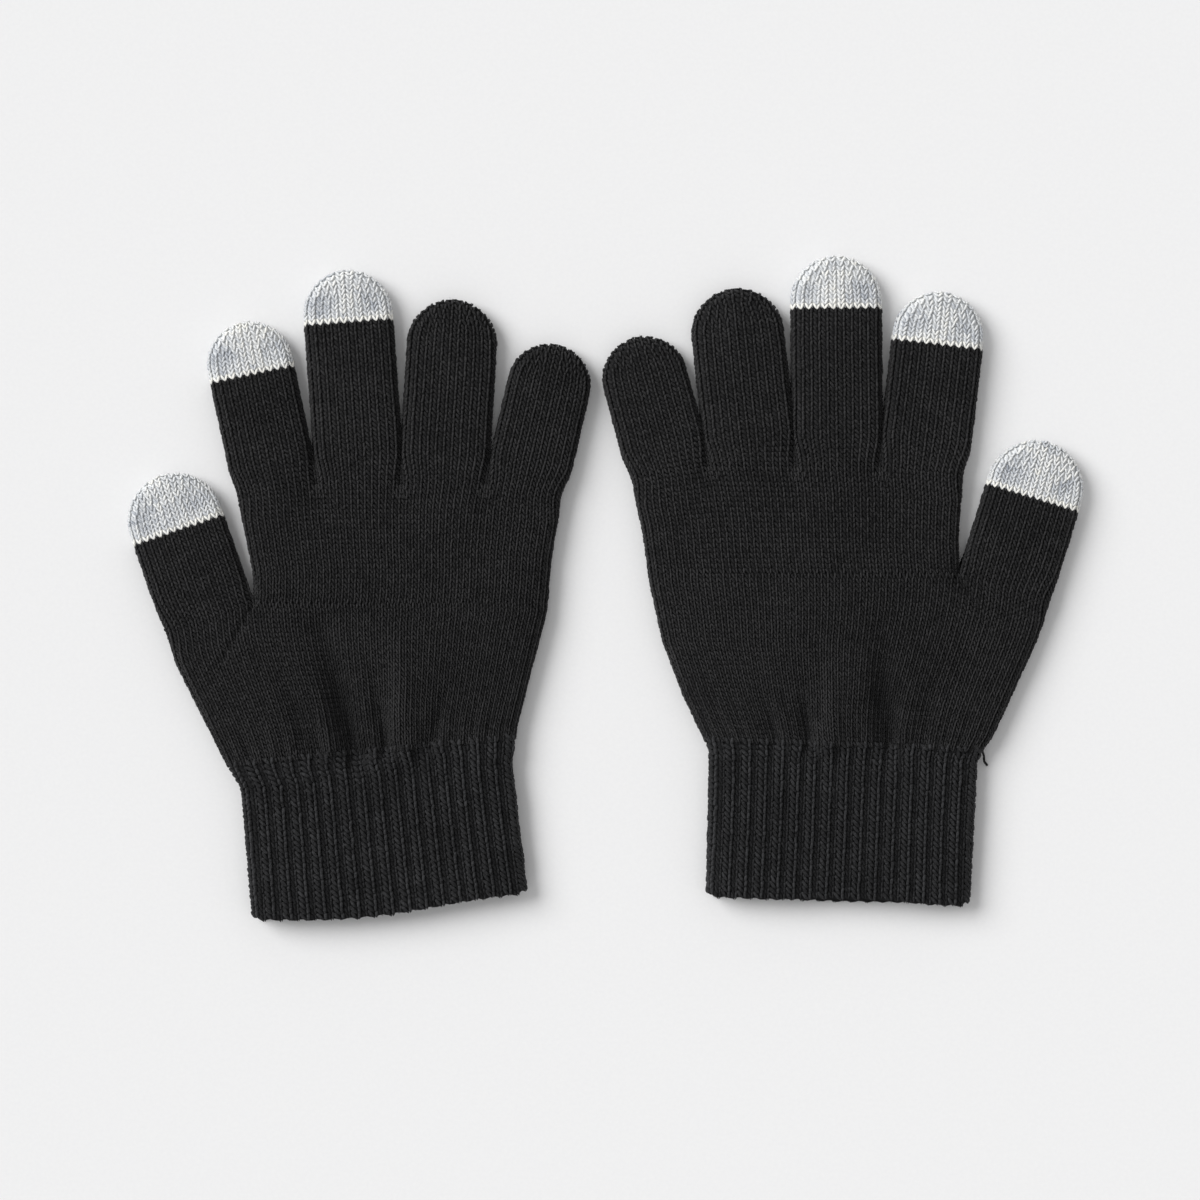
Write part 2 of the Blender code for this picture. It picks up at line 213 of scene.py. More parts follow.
def yarn(name, stops, heather, painted_leg_highlight, sheen, roughness, twist_depth):
    """A spun yarn: stops colour it by tone, and heather is how much the fine fibres vary it.

    The leg highlight is painted: the upright leg of each stitch is lightened by it, as that leg stands
    proud and catches the light."""
    made, tree = blank_material(name)
    place = node(tree, "ShaderNodeTexCoord").outputs["Object"]
    along = node(tree, "ShaderNodeUVMap", uv_map="strand").outputs["UV"]
    tone = node(tree, "ShaderNodeAttribute", attribute_name="tone", attribute_type="GEOMETRY")
    leg = node(tree, "ShaderNodeAttribute", attribute_name="leg", attribute_type="GEOMETRY")
    fibres = node(tree, "ShaderNodeTexNoise", {"Vector": place, "Scale": FIBRE_SIZE, "Detail": 4.0,
                                               "Roughness": 0.7})
    cloud = node(tree, "ShaderNodeTexNoise", {"Vector": place, "Scale": CLOUD_SIZE, "Detail": 3.0})
    mixed = node(tree, "ShaderNodeMath", {0: fibres.outputs["Fac"], 1: 0.5}, operation="SUBTRACT")
    spread = node(tree, "ShaderNodeMath", {0: mixed.outputs[0], 1: heather}, operation="MULTIPLY")
    drift = node(tree, "ShaderNodeMath", {0: cloud.outputs["Fac"], 1: 0.5}, operation="SUBTRACT")
    # Painted highlight: the upright leg's tone is raised.
    shade = node(tree, "ShaderNodeMath", {0: leg.outputs["Fac"], 1: painted_leg_highlight, 2: tone.outputs["Fac"]},
                 operation="MULTIPLY_ADD")
    first = node(tree, "ShaderNodeMath", {0: shade.outputs[0], 1: spread.outputs[0]}, operation="ADD")
    total = node(tree, "ShaderNodeMath", {0: drift.outputs[0], 1: CLOUD_SHARE, 2: first.outputs[0]},
                 operation="MULTIPLY_ADD")
    colour = ramp(tree, total.outputs[0], *stops)
    slanted = node(tree, "ShaderNodeMapping", {"Vector": along, "Rotation": (0, 0, TWIST_SLANT),
                                               "Scale": (TWISTS, TWISTS, 1)})
    ply = node(tree, "ShaderNodeTexWave", {"Vector": slanted.outputs["Vector"], "Scale": 1.0,
                                           "Distortion": 1.2, "Detail": 2.0})
    height = node(tree, "ShaderNodeMath", {0: ply.outputs["Fac"], 1: 0.6, 2: fibres.outputs["Fac"]},
                  operation="MULTIPLY_ADD")
    bump = node(tree, "ShaderNodeBump", {"Height": height.outputs[0], "Strength": 0.7,
                                         "Distance": twist_depth})
    shader = node(tree, "ShaderNodeBsdfPrincipled", {"Base Color": colour,
                                                     "Normal": bump.outputs["Normal"]})
    shader.inputs["Roughness"].default_value = roughness
    shader.inputs["Specular IOR Level"].default_value = 0.25
    shader.inputs["Sheen Weight"].default_value = sheen
    shader.inputs["Sheen Roughness"].default_value = 0.5
    node(tree, "ShaderNodeOutputMaterial", {"Surface": shader.outputs["BSDF"]})
    return made


BLACK = ((0.0, (0.0012, 0.0012, 0.0016)), (0.5, (0.0078, 0.0077, 0.0084)),
         (1.0, (0.031, 0.0305, 0.0315)))
RIB_BLACK = ((0.0, (0.0012, 0.0012, 0.0017)), (0.5, (0.0088, 0.0089, 0.0099)),
             (1.0, (0.032, 0.0325, 0.0345)))
PALE = ((0.0, (0.30, 0.325, 0.37)), (0.35, (0.55, 0.575, 0.61)), (0.7, (0.83, 0.84, 0.84)),
        (1.0, (0.91, 0.9, 0.85)))
black_yarn = yarn("black_yarn", BLACK, heather=3.2, painted_leg_highlight=0.34, sheen=0.05, roughness=0.8,
                  twist_depth=0.08 * MM)
rib_yarn = yarn("rib_yarn", RIB_BLACK, heather=2.8, painted_leg_highlight=0.22, sheen=0.05, roughness=0.78,
                twist_depth=0.1 * MM)
pale_yarn = yarn("conductive_yarn", PALE, heather=1.2, painted_leg_highlight=0.12, sheen=0.06, roughness=0.8,
                 twist_depth=0.06 * MM)
YARNS = {"black": black_yarn, "rib": rib_yarn, "pale": pale_yarn}
print("yarns:", [made.name for made in YARNS.values()])

# %% [markdown]
# ## The glove's outline, read from the frame
# One pattern serves both gloves, as on a knitting machine: the right glove is the left one turned
# over. So every glove is described with its thumb at -X, and the right one is mirrored at the end.
# The outline could be typed in as points, but then it would drift from the CAD. Read from the solids,
# it follows them: level lines across a CAD mesh say how wide the glove is there.

# %% Reading the solids
PROUD = 0.6 * MM  # how far the stitches stand out past the smooth surface
LEVEL_STEP = 1.5 * MM
SPAN_GAP = 0.4 * MM


def turned(side):
    return 1 if side == "left" else -1


def pattern_points(name, side):
    points = np.array([vertex.co for vertex in frame["nodes"][name].data.vertices])
    return points[:, :2] * (turned(side), 1)


def joint_place(name, side):
    return np.array(joints[name]["pos_m"][:2]) * (turned(side), 1)


def triangles(side, *parts):
    found = []
    for part in parts:
        mesh = frame["nodes"][f"{side}_{part}"].data
        mesh.calc_loop_triangles()
        corners = np.array([tuple(face.vertices) for face in mesh.loop_triangles])
        found.append(pattern_points(f"{side}_{part}", side)[corners])
    return np.concatenate(found)


def level_spans(faces, y):
    """The silhouette's stretches, from left to right, along the level line y."""
    crossing = faces[(faces[:, :, 1].min(1) < y) & (faces[:, :, 1].max(1) > y)]
    ends = []
    for corners in crossing:
        hits = []
        for (xa, ya), (xb, yb) in zip(corners, np.roll(corners, -1, axis=0)):
            if (ya - y) * (yb - y) < 0:
                hits.append(xa + (xb - xa) * (y - ya) / (yb - ya))
        if len(hits) > 1:
            ends.append((min(hits), max(hits)))
    spans = []
    for low, high in sorted(ends):
        if spans and low <= spans[-1][1] + SPAN_GAP:
            spans[-1][1] = max(spans[-1][1], high)
        else:
            spans.append([low, high])
    return spans


print("left palm is", [round((b - a) / MM, 1) for a, b in level_spans(triangles("left", "hand"), 0.0)],
      "mm wide at y = 0")

# %% [markdown]
# ## A digit's measures
# A digit's two joints give its axis, and its CAD solids give its width and length. Lengths run from its
# root, because that is where its knitting starts on the machine.

# %% One digit of the pattern
KNUCKLE_ABOVE_ROOT = 8 * MM


class Digit:
    """A finger of the pattern: its axis, its half width, and lengths measured from its root."""

    def __init__(self, side, name):
        parts = ["lower", "upper"] + (["tip"] if name in TIPPED else [])
        knuckle = joint_place(f"{side}_{name}_knuckle", side)
        bend = joint_place(f"{side}_{name}_bend", side)
        self.name = name
        self.ahead = (bend - knuckle) / np.linalg.norm(bend - knuckle)
        self.across = np.array([self.ahead[1], -self.ahead[0]])
        self.root = knuckle
        self.foot = knuckle - self.ahead * KNUCKLE_ABOVE_ROOT
        upper = pattern_points(f"{side}_{name}_upper", side) - knuckle
        everything = np.concatenate([pattern_points(f"{side}_{name}_{part}", side) for part in parts])
        self.half = np.abs(upper @ self.across).max() - PROUD
        self.length = ((everything - knuckle) @ self.ahead).max() - PROUD
        self.knuckle, self.bend = 0.0, np.linalg.norm(bend - knuckle)
        self.pale = None
        if name in TIPPED:
            self.pale = ((pattern_points(f"{side}_{name}_tip", side) - knuckle) @ self.ahead).min()

    def start_from(self, left, right):
        """Moves the root back to the line between the two points where the finger leaves the hand."""
        back = (((left + right) / 2 - self.root) @ self.ahead)
        self.root = self.root + self.ahead * back
        for key in ("length", "knuckle", "bend", "pale"):
            if getattr(self, key) is not None:
                setattr(self, key, getattr(self, key) - back)
        self.left_root, self.right_root = left, right


print("left index:", round(Digit("left", "index").half * 2 / MM, 1), "mm wide")

# %% [markdown]
# ## The whole pattern
# The pattern joins the digits to the palm's side lines. Where the index side line reaches the thumb
# crotch it is eased towards it, so that the rows above and below the crotch start at the same place.

# %% Crotches and side lines
WRIST_SPARE = 12 * MM
CROTCH_EASE = 9 * MM
CROTCH_SEARCH = 20 * MM
INDEX_REACH = 12 * MM


def meeting(a, b):
    """The crotch between neighbours a and b: midway between their sides, level with their roots."""
    return (a.foot + a.across * a.half + b.foot - b.across * b.half) / 2


class Pattern:
    """A glove's plan: its digits, crotches and side lines, with the thumb at -X."""

    def __init__(self, side):
        self.side = side
        self.digits = {name: Digit(side, name) for name in ("thumb", *FINGERS)}
        row = [self.digits[name] for name in FINGERS]
        self.crotches = [meeting(a, b) for a, b in zip(row, row[1:])]
        hand = triangles(side, "hand")
        self.thumb_crotch = self.find_thumb_crotch(hand)
        self.wrist = joint_place(f"{side}_wrist", side)
        axis = np.array(joints[f"{side}_wrist"]["axis"][:2]) * (turned(side), 1)
        self.waist_along = -axis / np.linalg.norm(axis)
        self.waist_along *= np.sign(self.waist_along[0])
        self.waist_up = np.array([-self.waist_along[1], self.waist_along[0]])
        self.measure_sides(hand)
        roots = [self.outer_root, *self.crotches, self.inner_root]
        for digit, left, right in zip(row, roots, roots[1:]):
            digit.start_from(left, right)
        thumb = self.digits["thumb"]
        reach = (self.thumb_crotch - thumb.root) @ thumb.ahead
        foot = thumb.root + thumb.ahead * reach
        thumb.start_from(foot - thumb.across * thumb.half, self.thumb_crotch)

    def find_thumb_crotch(self, hand):
        y = joint_place(f"{self.side}_wrist", self.side)[1] + CROTCH_SEARCH
        while len(level_spans(hand, y)) < 2:
            y += 0.25 * MM
        above = level_spans(hand, y)
        return np.array([(above[0][1] + above[1][0]) / 2, y])

    def measure_sides(self, hand):
        """Side lines as (y, x) tables: index side above the thumb crotch, outer side below it."""
        low, high = self.wrist[1] - WRIST_SPARE, hand[:, :, 1].max() - LEVEL_STEP
        body = np.concatenate([hand, triangles(self.side, "cuff", "thumb_lower")])
        inner, outer, index = [], [], []
        for y in np.arange(low, high, LEVEL_STEP):
            near = [span for shift in (-0.6, 0, 0.6) for span in level_spans(body, y + shift * MM)]
            inner.append((y, max(b for a, b in near) - PROUD))
            outer.append((y, min(a for a, b in near) + PROUD))
            if y > self.thumb_crotch[1]:
                index.append((y, min(a for a, b in level_spans(hand, y) if b > self.thumb_crotch[0]
                                     and a > self.thumb_crotch[0] - INDEX_REACH)))
        index = [(y, x + PROUD) for y, x in index]
        self.inner, self.outer, self.index = (np.array(line) for line in (inner, outer, index))
        gap = self.thumb_crotch[0] - self.index[1, 1]
        above = self.index[:, 0] - self.thumb_crotch[1]
        self.index[:, 1] += gap * np.clip(1 - above / CROTCH_EASE, 0, 1)
        self.index[0] = self.thumb_crotch[::-1]
        index, little = self.digits["index"], self.digits["little"]
        self.outer_root = self.on(self.index, (index.foot - index.across * index.half)[1])
        self.inner_root = self.on(self.inner, (little.foot + little.across * little.half)[1])

    def on(self, line, y):
        return np.stack([np.interp(y, line[:, 0], line[:, 1]), y + 0 * np.asarray(y)], axis=-1)


patterns = {side: Pattern(side) for side in SIDES}
for side, pattern in patterns.items():
    print(side, "thumb crotch", np.round(pattern.thumb_crotch * 1000, 1),
          {name: [round(float(v) * 1000, 1) for v in (d.half, d.length, d.knuckle, d.bend, d.pale or 0)]
           for name, d in pattern.digits.items()})

# %% [markdown]
# ## Soft folds
# Where the wide hand is drawn together at the cuff, the palm falls into soft folds. There is a dip where
# fingers part, and a seam line below the thumb. A cloth simulation could make folds, but not at chosen
# places, and the stitches would have to be laid on its result. So each fold is a rounded groove along a
# line, with a depth that grows towards the wrist.

# %% Folds and dips
FOLDS = {  # from, to: mm right of and above the middle of the wrist; depth and half width in mm
    "left": (((-18, 40), (-6, -1), 3.8, 4.8), ((0, 24), (4, 0), 2.0, 2.6),
             ((8, 36), (10, 2), -1.8, 3.4), ((-30, 24), (-20, 1), 1.2, 3.4),
             ((-18, 18), (-13, 2), -1.2, 2.6), ((24, 20), (17, 1), 1.6, 2.8)),
    "right": (((11, 38), (15, 0), 3.6, 4.6), ((-14, 20), (-11, 0), 2.0, 2.8),
              ((-3, 30), (-5, 2), -1.8, 3.6), ((31, 26), (23, 1), 1.3, 3.2),
              ((-28, 20), (-22, 1), 1.3, 3.0), ((23, 14), (20, 2), -1.0, 2.4)),
}
# Painted shade and highlight: the yarn's tone is lowered in folds and raised on ridges, by this much per
# metre of depth.
PAINTED_FOLD_SHADE = 150.0  # how much darker yarn looks in a fold, in tone per metre of depth
FOLD_START = 0.3  # share of its depth that a fold has at its upper end
FOLD_GROWTH = 1.6  # a fold is at its full depth after 1 / 1.6 of its length
THUMB_SEAM = (-10, -18)  # where the seam below the thumb crotch ends, mm from the crotch
SEAM_DEPTH = 0.55 * MM
SEAM_WIDTH = 1.3 * MM
DIP_BELOW = 3 * MM
DIP_REACH = 6 * MM
DIP_DEPTH = 0.9 * MM


def smooth(value):
    value = np.clip(value, 0, 1)
    return value * value * (3 - 2 * value)


def ridge(points, a, b, width):
    """A rounded ridge from a to b, 1 along its middle. Also how far along it each point is."""
    along = np.clip((points - a) @ (b - a) / ((b - a) @ (b - a)), 0, 1)
    away = np.linalg.norm(points - a - along[:, None] * (b - a), axis=1) / width
    return np.exp(-away ** 2), along


def dip(points, centre, reach, depth):
    away = np.linalg.norm(points - centre, axis=1) / reach
    return depth * np.exp(-away ** 2)


def fold_depth(points, pattern):
    """How far the palm's soft folds and finger dips lower the upper layer."""
    crotch = pattern.thumb_crotch
    seam_end = crotch + np.array(THUMB_SEAM) * MM
    lowered = SEAM_DEPTH * ridge(points, crotch, seam_end, SEAM_WIDTH)[0]
    for start, end, depth, width in FOLDS[pattern.side]:
        a, b = (pattern.wrist + np.array([x * turned(pattern.side), y]) * MM for x, y in (start, end))
        shape, along = ridge(points, a, b, width * MM)
        growth = FOLD_START + (1 - FOLD_START) * smooth(along * FOLD_GROWTH)
        lowered += depth * MM * growth * shape
    for crotch in (*pattern.crotches, pattern.thumb_crotch):
        lowered += dip(points, crotch - (0, DIP_BELOW), DIP_REACH, DIP_DEPTH)
    return lowered


print("folds:", {side: len(FOLDS[side]) for side in SIDES})

# %% [markdown]
# ## The laid-flat cross-section
# Seen from its end, a flat glove is a lens with round edges. A quarter circle at each side makes those
# edges, and a slow rise makes the crown. A pillow of solid fabric could be sculpted instead, but a
# formula gives both layers, and every piece reads the same one.

# %% Height of the fabric
ROUND = 2.9 * MM
MIDDLE_HEIGHT = ROUND + 0.9 * MM
CROWN = 0.9 * MM
CROWN_REACH = 7 * MM
SWELL = 0.35 * MM
SWELL_SIZE = 22 * MM


def quarter_round(reach):
    inside = np.clip(reach / ROUND, 0, 1)
    return np.sqrt(np.clip(1 - (1 - inside) ** 2, 0, 1))


def swell(points):
    return np.array([noise.noise(Vector((x, y, 0)) / SWELL_SIZE) for x, y in points]) * SWELL


def fabric_height(points, reach, face, pattern, gather=0):
    """Height of one layer: reach is the distance from the folded edge, face 1 above and -1 below."""
    shape = ROUND * quarter_round(reach)
    for crotch in (*pattern.crotches, pattern.thumb_crotch):
        shape = np.minimum(shape, ROUND * quarter_round(np.linalg.norm(points - crotch, axis=1)))
    if face < 0:
        return MIDDLE_HEIGHT - shape
    crown = CROWN * (1 - np.exp(-np.clip(reach - ROUND / 2, 0, 1) / CROWN_REACH))
    soft = crown + swell(points) - fold_depth(points, pattern) + gather
    return MIDDLE_HEIGHT + shape + soft * quarter_round(reach)


def edge_steps(low, high, edge_low, edge_high, count=160):
    """Positions from low to high, packed closer wherever the side is a folded edge."""
    even = np.linspace(0, 1, count)
    if edge_low and edge_high:
        even = (1 - np.cos(np.pi * even)) / 2
    elif edge_low:
        even = 1 - np.cos(np.pi / 2 * even)
    elif edge_high:
        even = np.sin(np.pi / 2 * even)
    return low + (high - low) * even


def arc_length(line):
    """How far along a line of points each of them is."""
    return np.concatenate([[0], np.cumsum(np.linalg.norm(np.diff(line, axis=0), axis=1))])


print("fabric from", round((MIDDLE_HEIGHT - ROUND) / MM, 1), "to",
      round((MIDDLE_HEIGHT + ROUND + CROWN) / MM, 1), "mm high")

# %% [markdown]
# ## Laying out the stitches
# A stitch needs a place, the way its column runs, the way the fabric faces, and its size. `Stitches`
# collects those for one piece. Columns keep an even width measured over the surface, and close in
# at the rounded fingertips the way a machine narrows them, by dropping whole columns.

# %% Stitch bookkeeping
COURSE = 1.54 * MM  # height of one row
LIFT = 0.3 * MM
TINY = 0.08 * MM  # a step small enough to read a surface's slope
SIZE_NOISE = 0.05
TONE_NOISE = 0.09
random = np.random.default_rng(7)


class Stitches:
    """Every stitch of one piece: its place, column direction, facing, size and tone."""

    def __init__(self):
        self.rows = []

    def add(self, surface, a, b, face, width, course, step=TINY, tone=0.5, lift=LIFT, depth=1.0,
            forward=1):
        """Puts stitches at surface(a, b). b grows along the column if forward is 1."""
        across = surface(a + step, b) - surface(a - step, b)
        along = (surface(a, b + step) - surface(a, b - step)) * forward
        facing = np.cross(across, along) * face
        for rows in (along, facing):
            rows /= np.linalg.norm(rows, axis=1)[:, None] + 1e-12
        place = surface(a, b) + facing * lift
        count = len(place)
        size = np.tile([width, course, depth], (count, 1)) * random.normal(1, SIZE_NOISE, (count, 3))
        shade = np.clip(tone + random.normal(0, TONE_NOISE, count), 0, 1)
        self.rows.append(np.column_stack([place, along, facing, size, shade]))

    def table(self):
        return np.concatenate(self.rows)


print("rows", COURSE / MM, "mm high")

# %% [markdown]
# ## Fingers
# A finger is a flat tube with a half-round end. A straight tube would leave a wedge where a slanted
# finger meets the palm. So its rows start level with the palm's and turn until they are square to the
# finger, and the columns run on from the palm without a step. Each shoulder of the tip has a small
# dent, where the last stitches are drawn together.

# %% Finger surface
SPREAD = 11 * MM
DENT = 0.7 * MM
DENT_OUT = 0.62  # these four are shares of the finger's half width
DENT_UP = 0.2
DENT_SIZE = 0.3
PAINTED_SHADE_WIDTH = 0.35
DENT_STRETCH = 0.8


def finger_row(digit, s):
    """Left end, right end of the finger's row at s, in the pattern's plane."""
    s = np.asarray(s, float)[..., None]
    turn = smooth(s / SPREAD)
    axis = digit.root + digit.ahead * s
    left = (1 - turn) * (digit.left_root + digit.ahead * s) + turn * (axis - digit.across * digit.half)
    right = (1 - turn) * (digit.right_root + digit.ahead * s) + turn * (axis + digit.across * digit.half)
    return left, right


def finger_surface(digit, face, pattern):
    """surface(x, s): x from the middle of the row, s from the root."""
    cap = digit.length - digit.half

    def surface(x, s):
        x, s = np.broadcast_arrays(np.asarray(x, float), np.asarray(s, float))
        left, right = finger_row(digit, np.minimum(s, cap))
        middle, whole = (left + right) / 2, right - left
        width = np.linalg.norm(whole, axis=-1)
        beyond = np.clip(s - cap, 0, None)
        points = middle + whole / width[..., None] * x[..., None] + digit.ahead * beyond[..., None]
        reach = np.where(beyond > 0, digit.half - np.hypot(x, beyond), width / 2 - np.abs(x))
        reach = np.clip(reach, 0, None)
        height = fabric_height(points, reach, face, pattern)
        if face > 0:
            for sign in (-1, 1):
                up = (s - cap - DENT_UP * digit.half) * DENT_STRETCH
                away = np.hypot(x - sign * DENT_OUT * digit.half, up) / (DENT_SIZE * digit.half)
                height = height - DENT * np.exp(-away ** 2) * quarter_round(reach)
        return np.column_stack([points, height])

    return surface


def half_width(digit, s):
    cap = digit.length - digit.half
    if s > cap:
        return math.sqrt(max(digit.half ** 2 - (s - cap) ** 2, 1e-9))
    left, right = finger_row(digit, s)
    return float(np.linalg.norm(right - left)) / 2


print("longest finger", max(round(d.length / MM, 1) for p in patterns.values() for d in p.digits.values()))

# %% [markdown]
# ## Knitting a finger
# A machine narrows a fingertip by dropping whole columns, so each row has a whole, even number of
# them. The first row of a pale tip shows white loops on the black, and its shoulders are painted a
# little darker, as painted shade in the small dents where the stitches are drawn together.

# %% Stitches of a finger
FINGER_COLUMNS = {"thumb": 14, "index": 12, "middle": 12, "ring": 12, "little": 12}
# Painted shade: the pale tip's shoulders are darkened in tone, for the shade in their dents.
PAINTED_SHOULDER_SHADE = 0.3
PAINTED_SHADE_REACH = 5 * MM
SAMPLES = 900


def course_places(digit, pattern, face):
    """Distances s of the rows, one course apart measured over the surface's middle line."""
    s = np.linspace(0, digit.length - 0.02 * MM, SAMPLES)
    arc = arc_length(finger_surface(digit, face, pattern)(np.zeros(SAMPLES), s))
    count = int(round(arc[-1] / COURSE))
    return np.interp((np.arange(count) + 0.5) / count * arc[-1], arc, s)


def knit_finger(stitches, digit, pattern, start, end, tone, first_tone=None):
    """Lays the stitches of a finger between s = start and s = end, on both layers."""
    for face in (1, -1):
        surface = finger_surface(digit, face, pattern)
        full = None
        for s in course_places(digit, pattern, face):
            width = half_width(digit, s)
            x = edge_steps(-width, width, True, True)
            arc = arc_length(surface(x, np.full(len(x), s)))
            if full is None or SPREAD < s < digit.length - digit.half:
                full = arc[-1]
            if not start <= s < end:
                continue
            count = max(2, int(round(FINGER_COLUMNS[digit.name] * arc[-1] / full / 2)) * 2)
            middles = (np.arange(count) + 0.5) / count
            at = np.interp(middles * arc[-1], arc, x)
            at = at + (width * (2 * middles - 1) - at) * (1 - smooth(s / SPREAD))
            first = first_tone is not None and s - start < COURSE
            shade = first_tone if first else tone
            # painted shade on the shoulders of a pale tip
            if first_tone is not None and not first:
                beside = np.abs(np.abs(at) - DENT_OUT * digit.half) / (PAINTED_SHADE_WIDTH * digit.half)
                above = (s - digit.length + (1 - DENT_UP) * digit.half) / PAINTED_SHADE_REACH
                shade = tone - PAINTED_SHOULDER_SHADE * np.exp(-beside ** 2 - above ** 2)
            stitches.add(surface, at, np.full(count, s), face, arc[-1] / count, COURSE, tone=shade)


print("columns across the four fingers:", sum(FINGER_COLUMNS[name] for name in FINGERS))

# %% [markdown]
# ## A patch between four lines
# The rest of the hand is three patches. Each has four side lines, and a point inside is a blend of
# them: a Coons patch, which keeps stitch columns flowing evenly between any four edges. A plain grid
# cut off at the outline would leave half stitches along both sides.

# %% Patches between four lines
RIBS = 17
GATHER_FROM = 0.55  # share of a patch's length where the ribs begin to draw it together


def lerp(a, b, share):
    share = np.asarray(share, float)[..., None]
    return a * (1 - share) + b * share


def along_path(points, share):
    """Points along a path of straight runs that each take an equal share."""
    points = np.array(points)
    at = np.asarray(share) * (len(points) - 1)
    number = np.arange(len(points))
    return np.stack([np.interp(at, number, points[:, 0]), np.interp(at, number, points[:, 1])], axis=-1)


def eased(start, start_way, end, end_way, share):
    """A curve that leaves start and reaches end in those directions."""
    t = np.asarray(share, float)[..., None]
    reach = np.linalg.norm(end - start)
    return ((2 * t ** 3 - 3 * t ** 2 + 1) * start + (t ** 3 - 2 * t ** 2 + t) * reach * start_way
            + (3 * t ** 2 - 2 * t ** 3) * end + (t ** 3 - t ** 2) * reach * end_way)


class Patch:
    """A part of the glove between four lines. u goes across from the thumb side, t down to the cuff."""

    def __init__(self, pattern, top, bottom, left, right, fold_left, fold_right, shares=(0, 1)):
        self.pattern, self.shares = pattern, shares
        self.lines = top, bottom, left, right
        self.folds = fold_left, fold_right
        self.gather = 0.0
        self.first = self.last = None
        length = [np.linalg.norm(bottom(u) - top(u)) for u in (0.0, 0.5, 1.0)]
        self.length = float(np.mean(length))

    def plan(self, u, t):
        top, bottom, left, right = self.lines
        corner = lerp(lerp(top(0.0), top(1.0), u), lerp(bottom(0.0), bottom(1.0), u), t)
        return lerp(top(u), bottom(u), t) + lerp(left(t), right(t), u) - corner

    def surface(self, face):
        def made(u, t):
            u, t = np.broadcast_arrays(np.asarray(u, float), np.asarray(t, float))
            points = self.plan(u, t)
            width = np.linalg.norm(self.lines[3](t) - self.lines[2](t), axis=-1)
            reach = np.full(len(u), 1.0)
            if self.folds[0]:
                reach = np.minimum(reach, u * width)
            if self.folds[1]:
                reach = np.minimum(reach, (1 - u) * width)
            share = self.shares[0] + u * (self.shares[1] - self.shares[0])
            gather = self.gather * np.cos(2 * np.pi * RIBS * share) * smooth((t - GATHER_FROM) / 0.45)
            height = fabric_height(points, np.clip(reach, 0, None), face, self.pattern, gather)
            return np.column_stack([points, height])
        return made

    def row(self, face, t):
        """Positions across the row at t, and their arc length over the fabric."""
        u = edge_steps(0, 1, *self.folds)
        return u, arc_length(self.surface(face)(u, np.full(len(u), t)))

    def even_columns(self, columns, face, t):
        """Middles of the columns on the row at t. At the ends they meet those of the next patch."""
        u, arc = self.row(face, t)
        at = np.interp((np.arange(columns) + 0.5) / columns * arc[-1], arc, u)
        for meet, away in ((self.first, t), (self.last, 1 - t)):
            if meet is not None:
                at = at + (meet - at) * (1 - smooth(away * self.length / SPREAD))
        return at, arc[-1] / columns


print("patches gather into", RIBS, "ribs")

# %% [markdown]
# ## Palm and thumb root
# Below the thumb's crotch the thumb's columns join the palm's, and all of them crowd together at the
# wrist, where the ribs draw the fabric in. The parting between the two is a curve that leaves the
# crotch straight down, as the seam does.

# %% The hand's three patches
GATHER = 0.3 * MM
EDGE_BAND = 0.3 * MM


def wrist_frame(pattern, part):
    """Triangles of a CAD part with x along the wrist line and y up the hand, from the wrist's middle."""
    moved = triangles(pattern.side, part) - pattern.wrist
    return np.stack([moved @ pattern.waist_along, moved @ pattern.waist_up], axis=-1)


def from_wrist(pattern, x, y):
    x, y = np.asarray(x)[..., None], np.asarray(y)[..., None]
    return pattern.wrist + x * pattern.waist_along + y * pattern.waist_up


def waist_ends(pattern):
    corners = wrist_frame(pattern, "hand").reshape(-1, 2)
    edge = corners[corners[:, 1] < corners[:, 1].min() + EDGE_BAND]
    return [from_wrist(pattern, x, 0.0) for x in (edge[:, 0].min() + PROUD, edge[:, 0].max() - PROUD)]


def hand_patches(pattern):
    """Upper palm, thumb root and lower palm."""
    crotch, thumb = pattern.thumb_crotch, pattern.digits["thumb"]
    roots = [pattern.outer_root, *pattern.crotches, pattern.inner_root]
    level = pattern.on(pattern.inner, crotch[1])
    ends = waist_ends(pattern)
    share = FINGER_COLUMNS["thumb"] / sum(FINGER_COLUMNS.values())
    parting = lerp(*ends, share)

    def edge(line, start, end):
        y0, y1 = start[1], end[1]

        def made(t):
            t = np.asarray(t, float)
            points = pattern.on(line, y0 + (y1 - y0) * t)
            first, last = pattern.on(line, y0), pattern.on(line, y1)
            return points + lerp(start - first, end - last, t)
        return made

    def between(a, b):
        return lambda u: lerp(a, b, u)

    def part(t):
        return eased(crotch, np.array([0, -1.0]), parting, -pattern.waist_up, t)

    upper = Patch(pattern, lambda u: along_path(roots, u), between(crotch, level),
                  edge(pattern.index, roots[0], crotch), edge(pattern.inner, roots[-1], level), True, True)
    root = Patch(pattern, between(thumb.left_root, crotch), between(ends[0], parting),
                 edge(pattern.outer, thumb.left_root, ends[0]), part, True, False, (0, share))
    lower = Patch(pattern, between(crotch, level), between(parting, ends[1]), part,
                  edge(pattern.inner, level, ends[1]), False, True, (share, 1))
    root.gather = lower.gather = GATHER
    columns = sum(FINGER_COLUMNS[name] for name in FINGERS)
    upper.first = (np.arange(columns) + 0.5) / columns
    upper.last = lower.even_columns(columns, 1, 0.0)[0]
    root.first = (np.arange(FINGER_COLUMNS["thumb"]) + 0.5) / FINGER_COLUMNS["thumb"]
    return upper, root, lower, ends


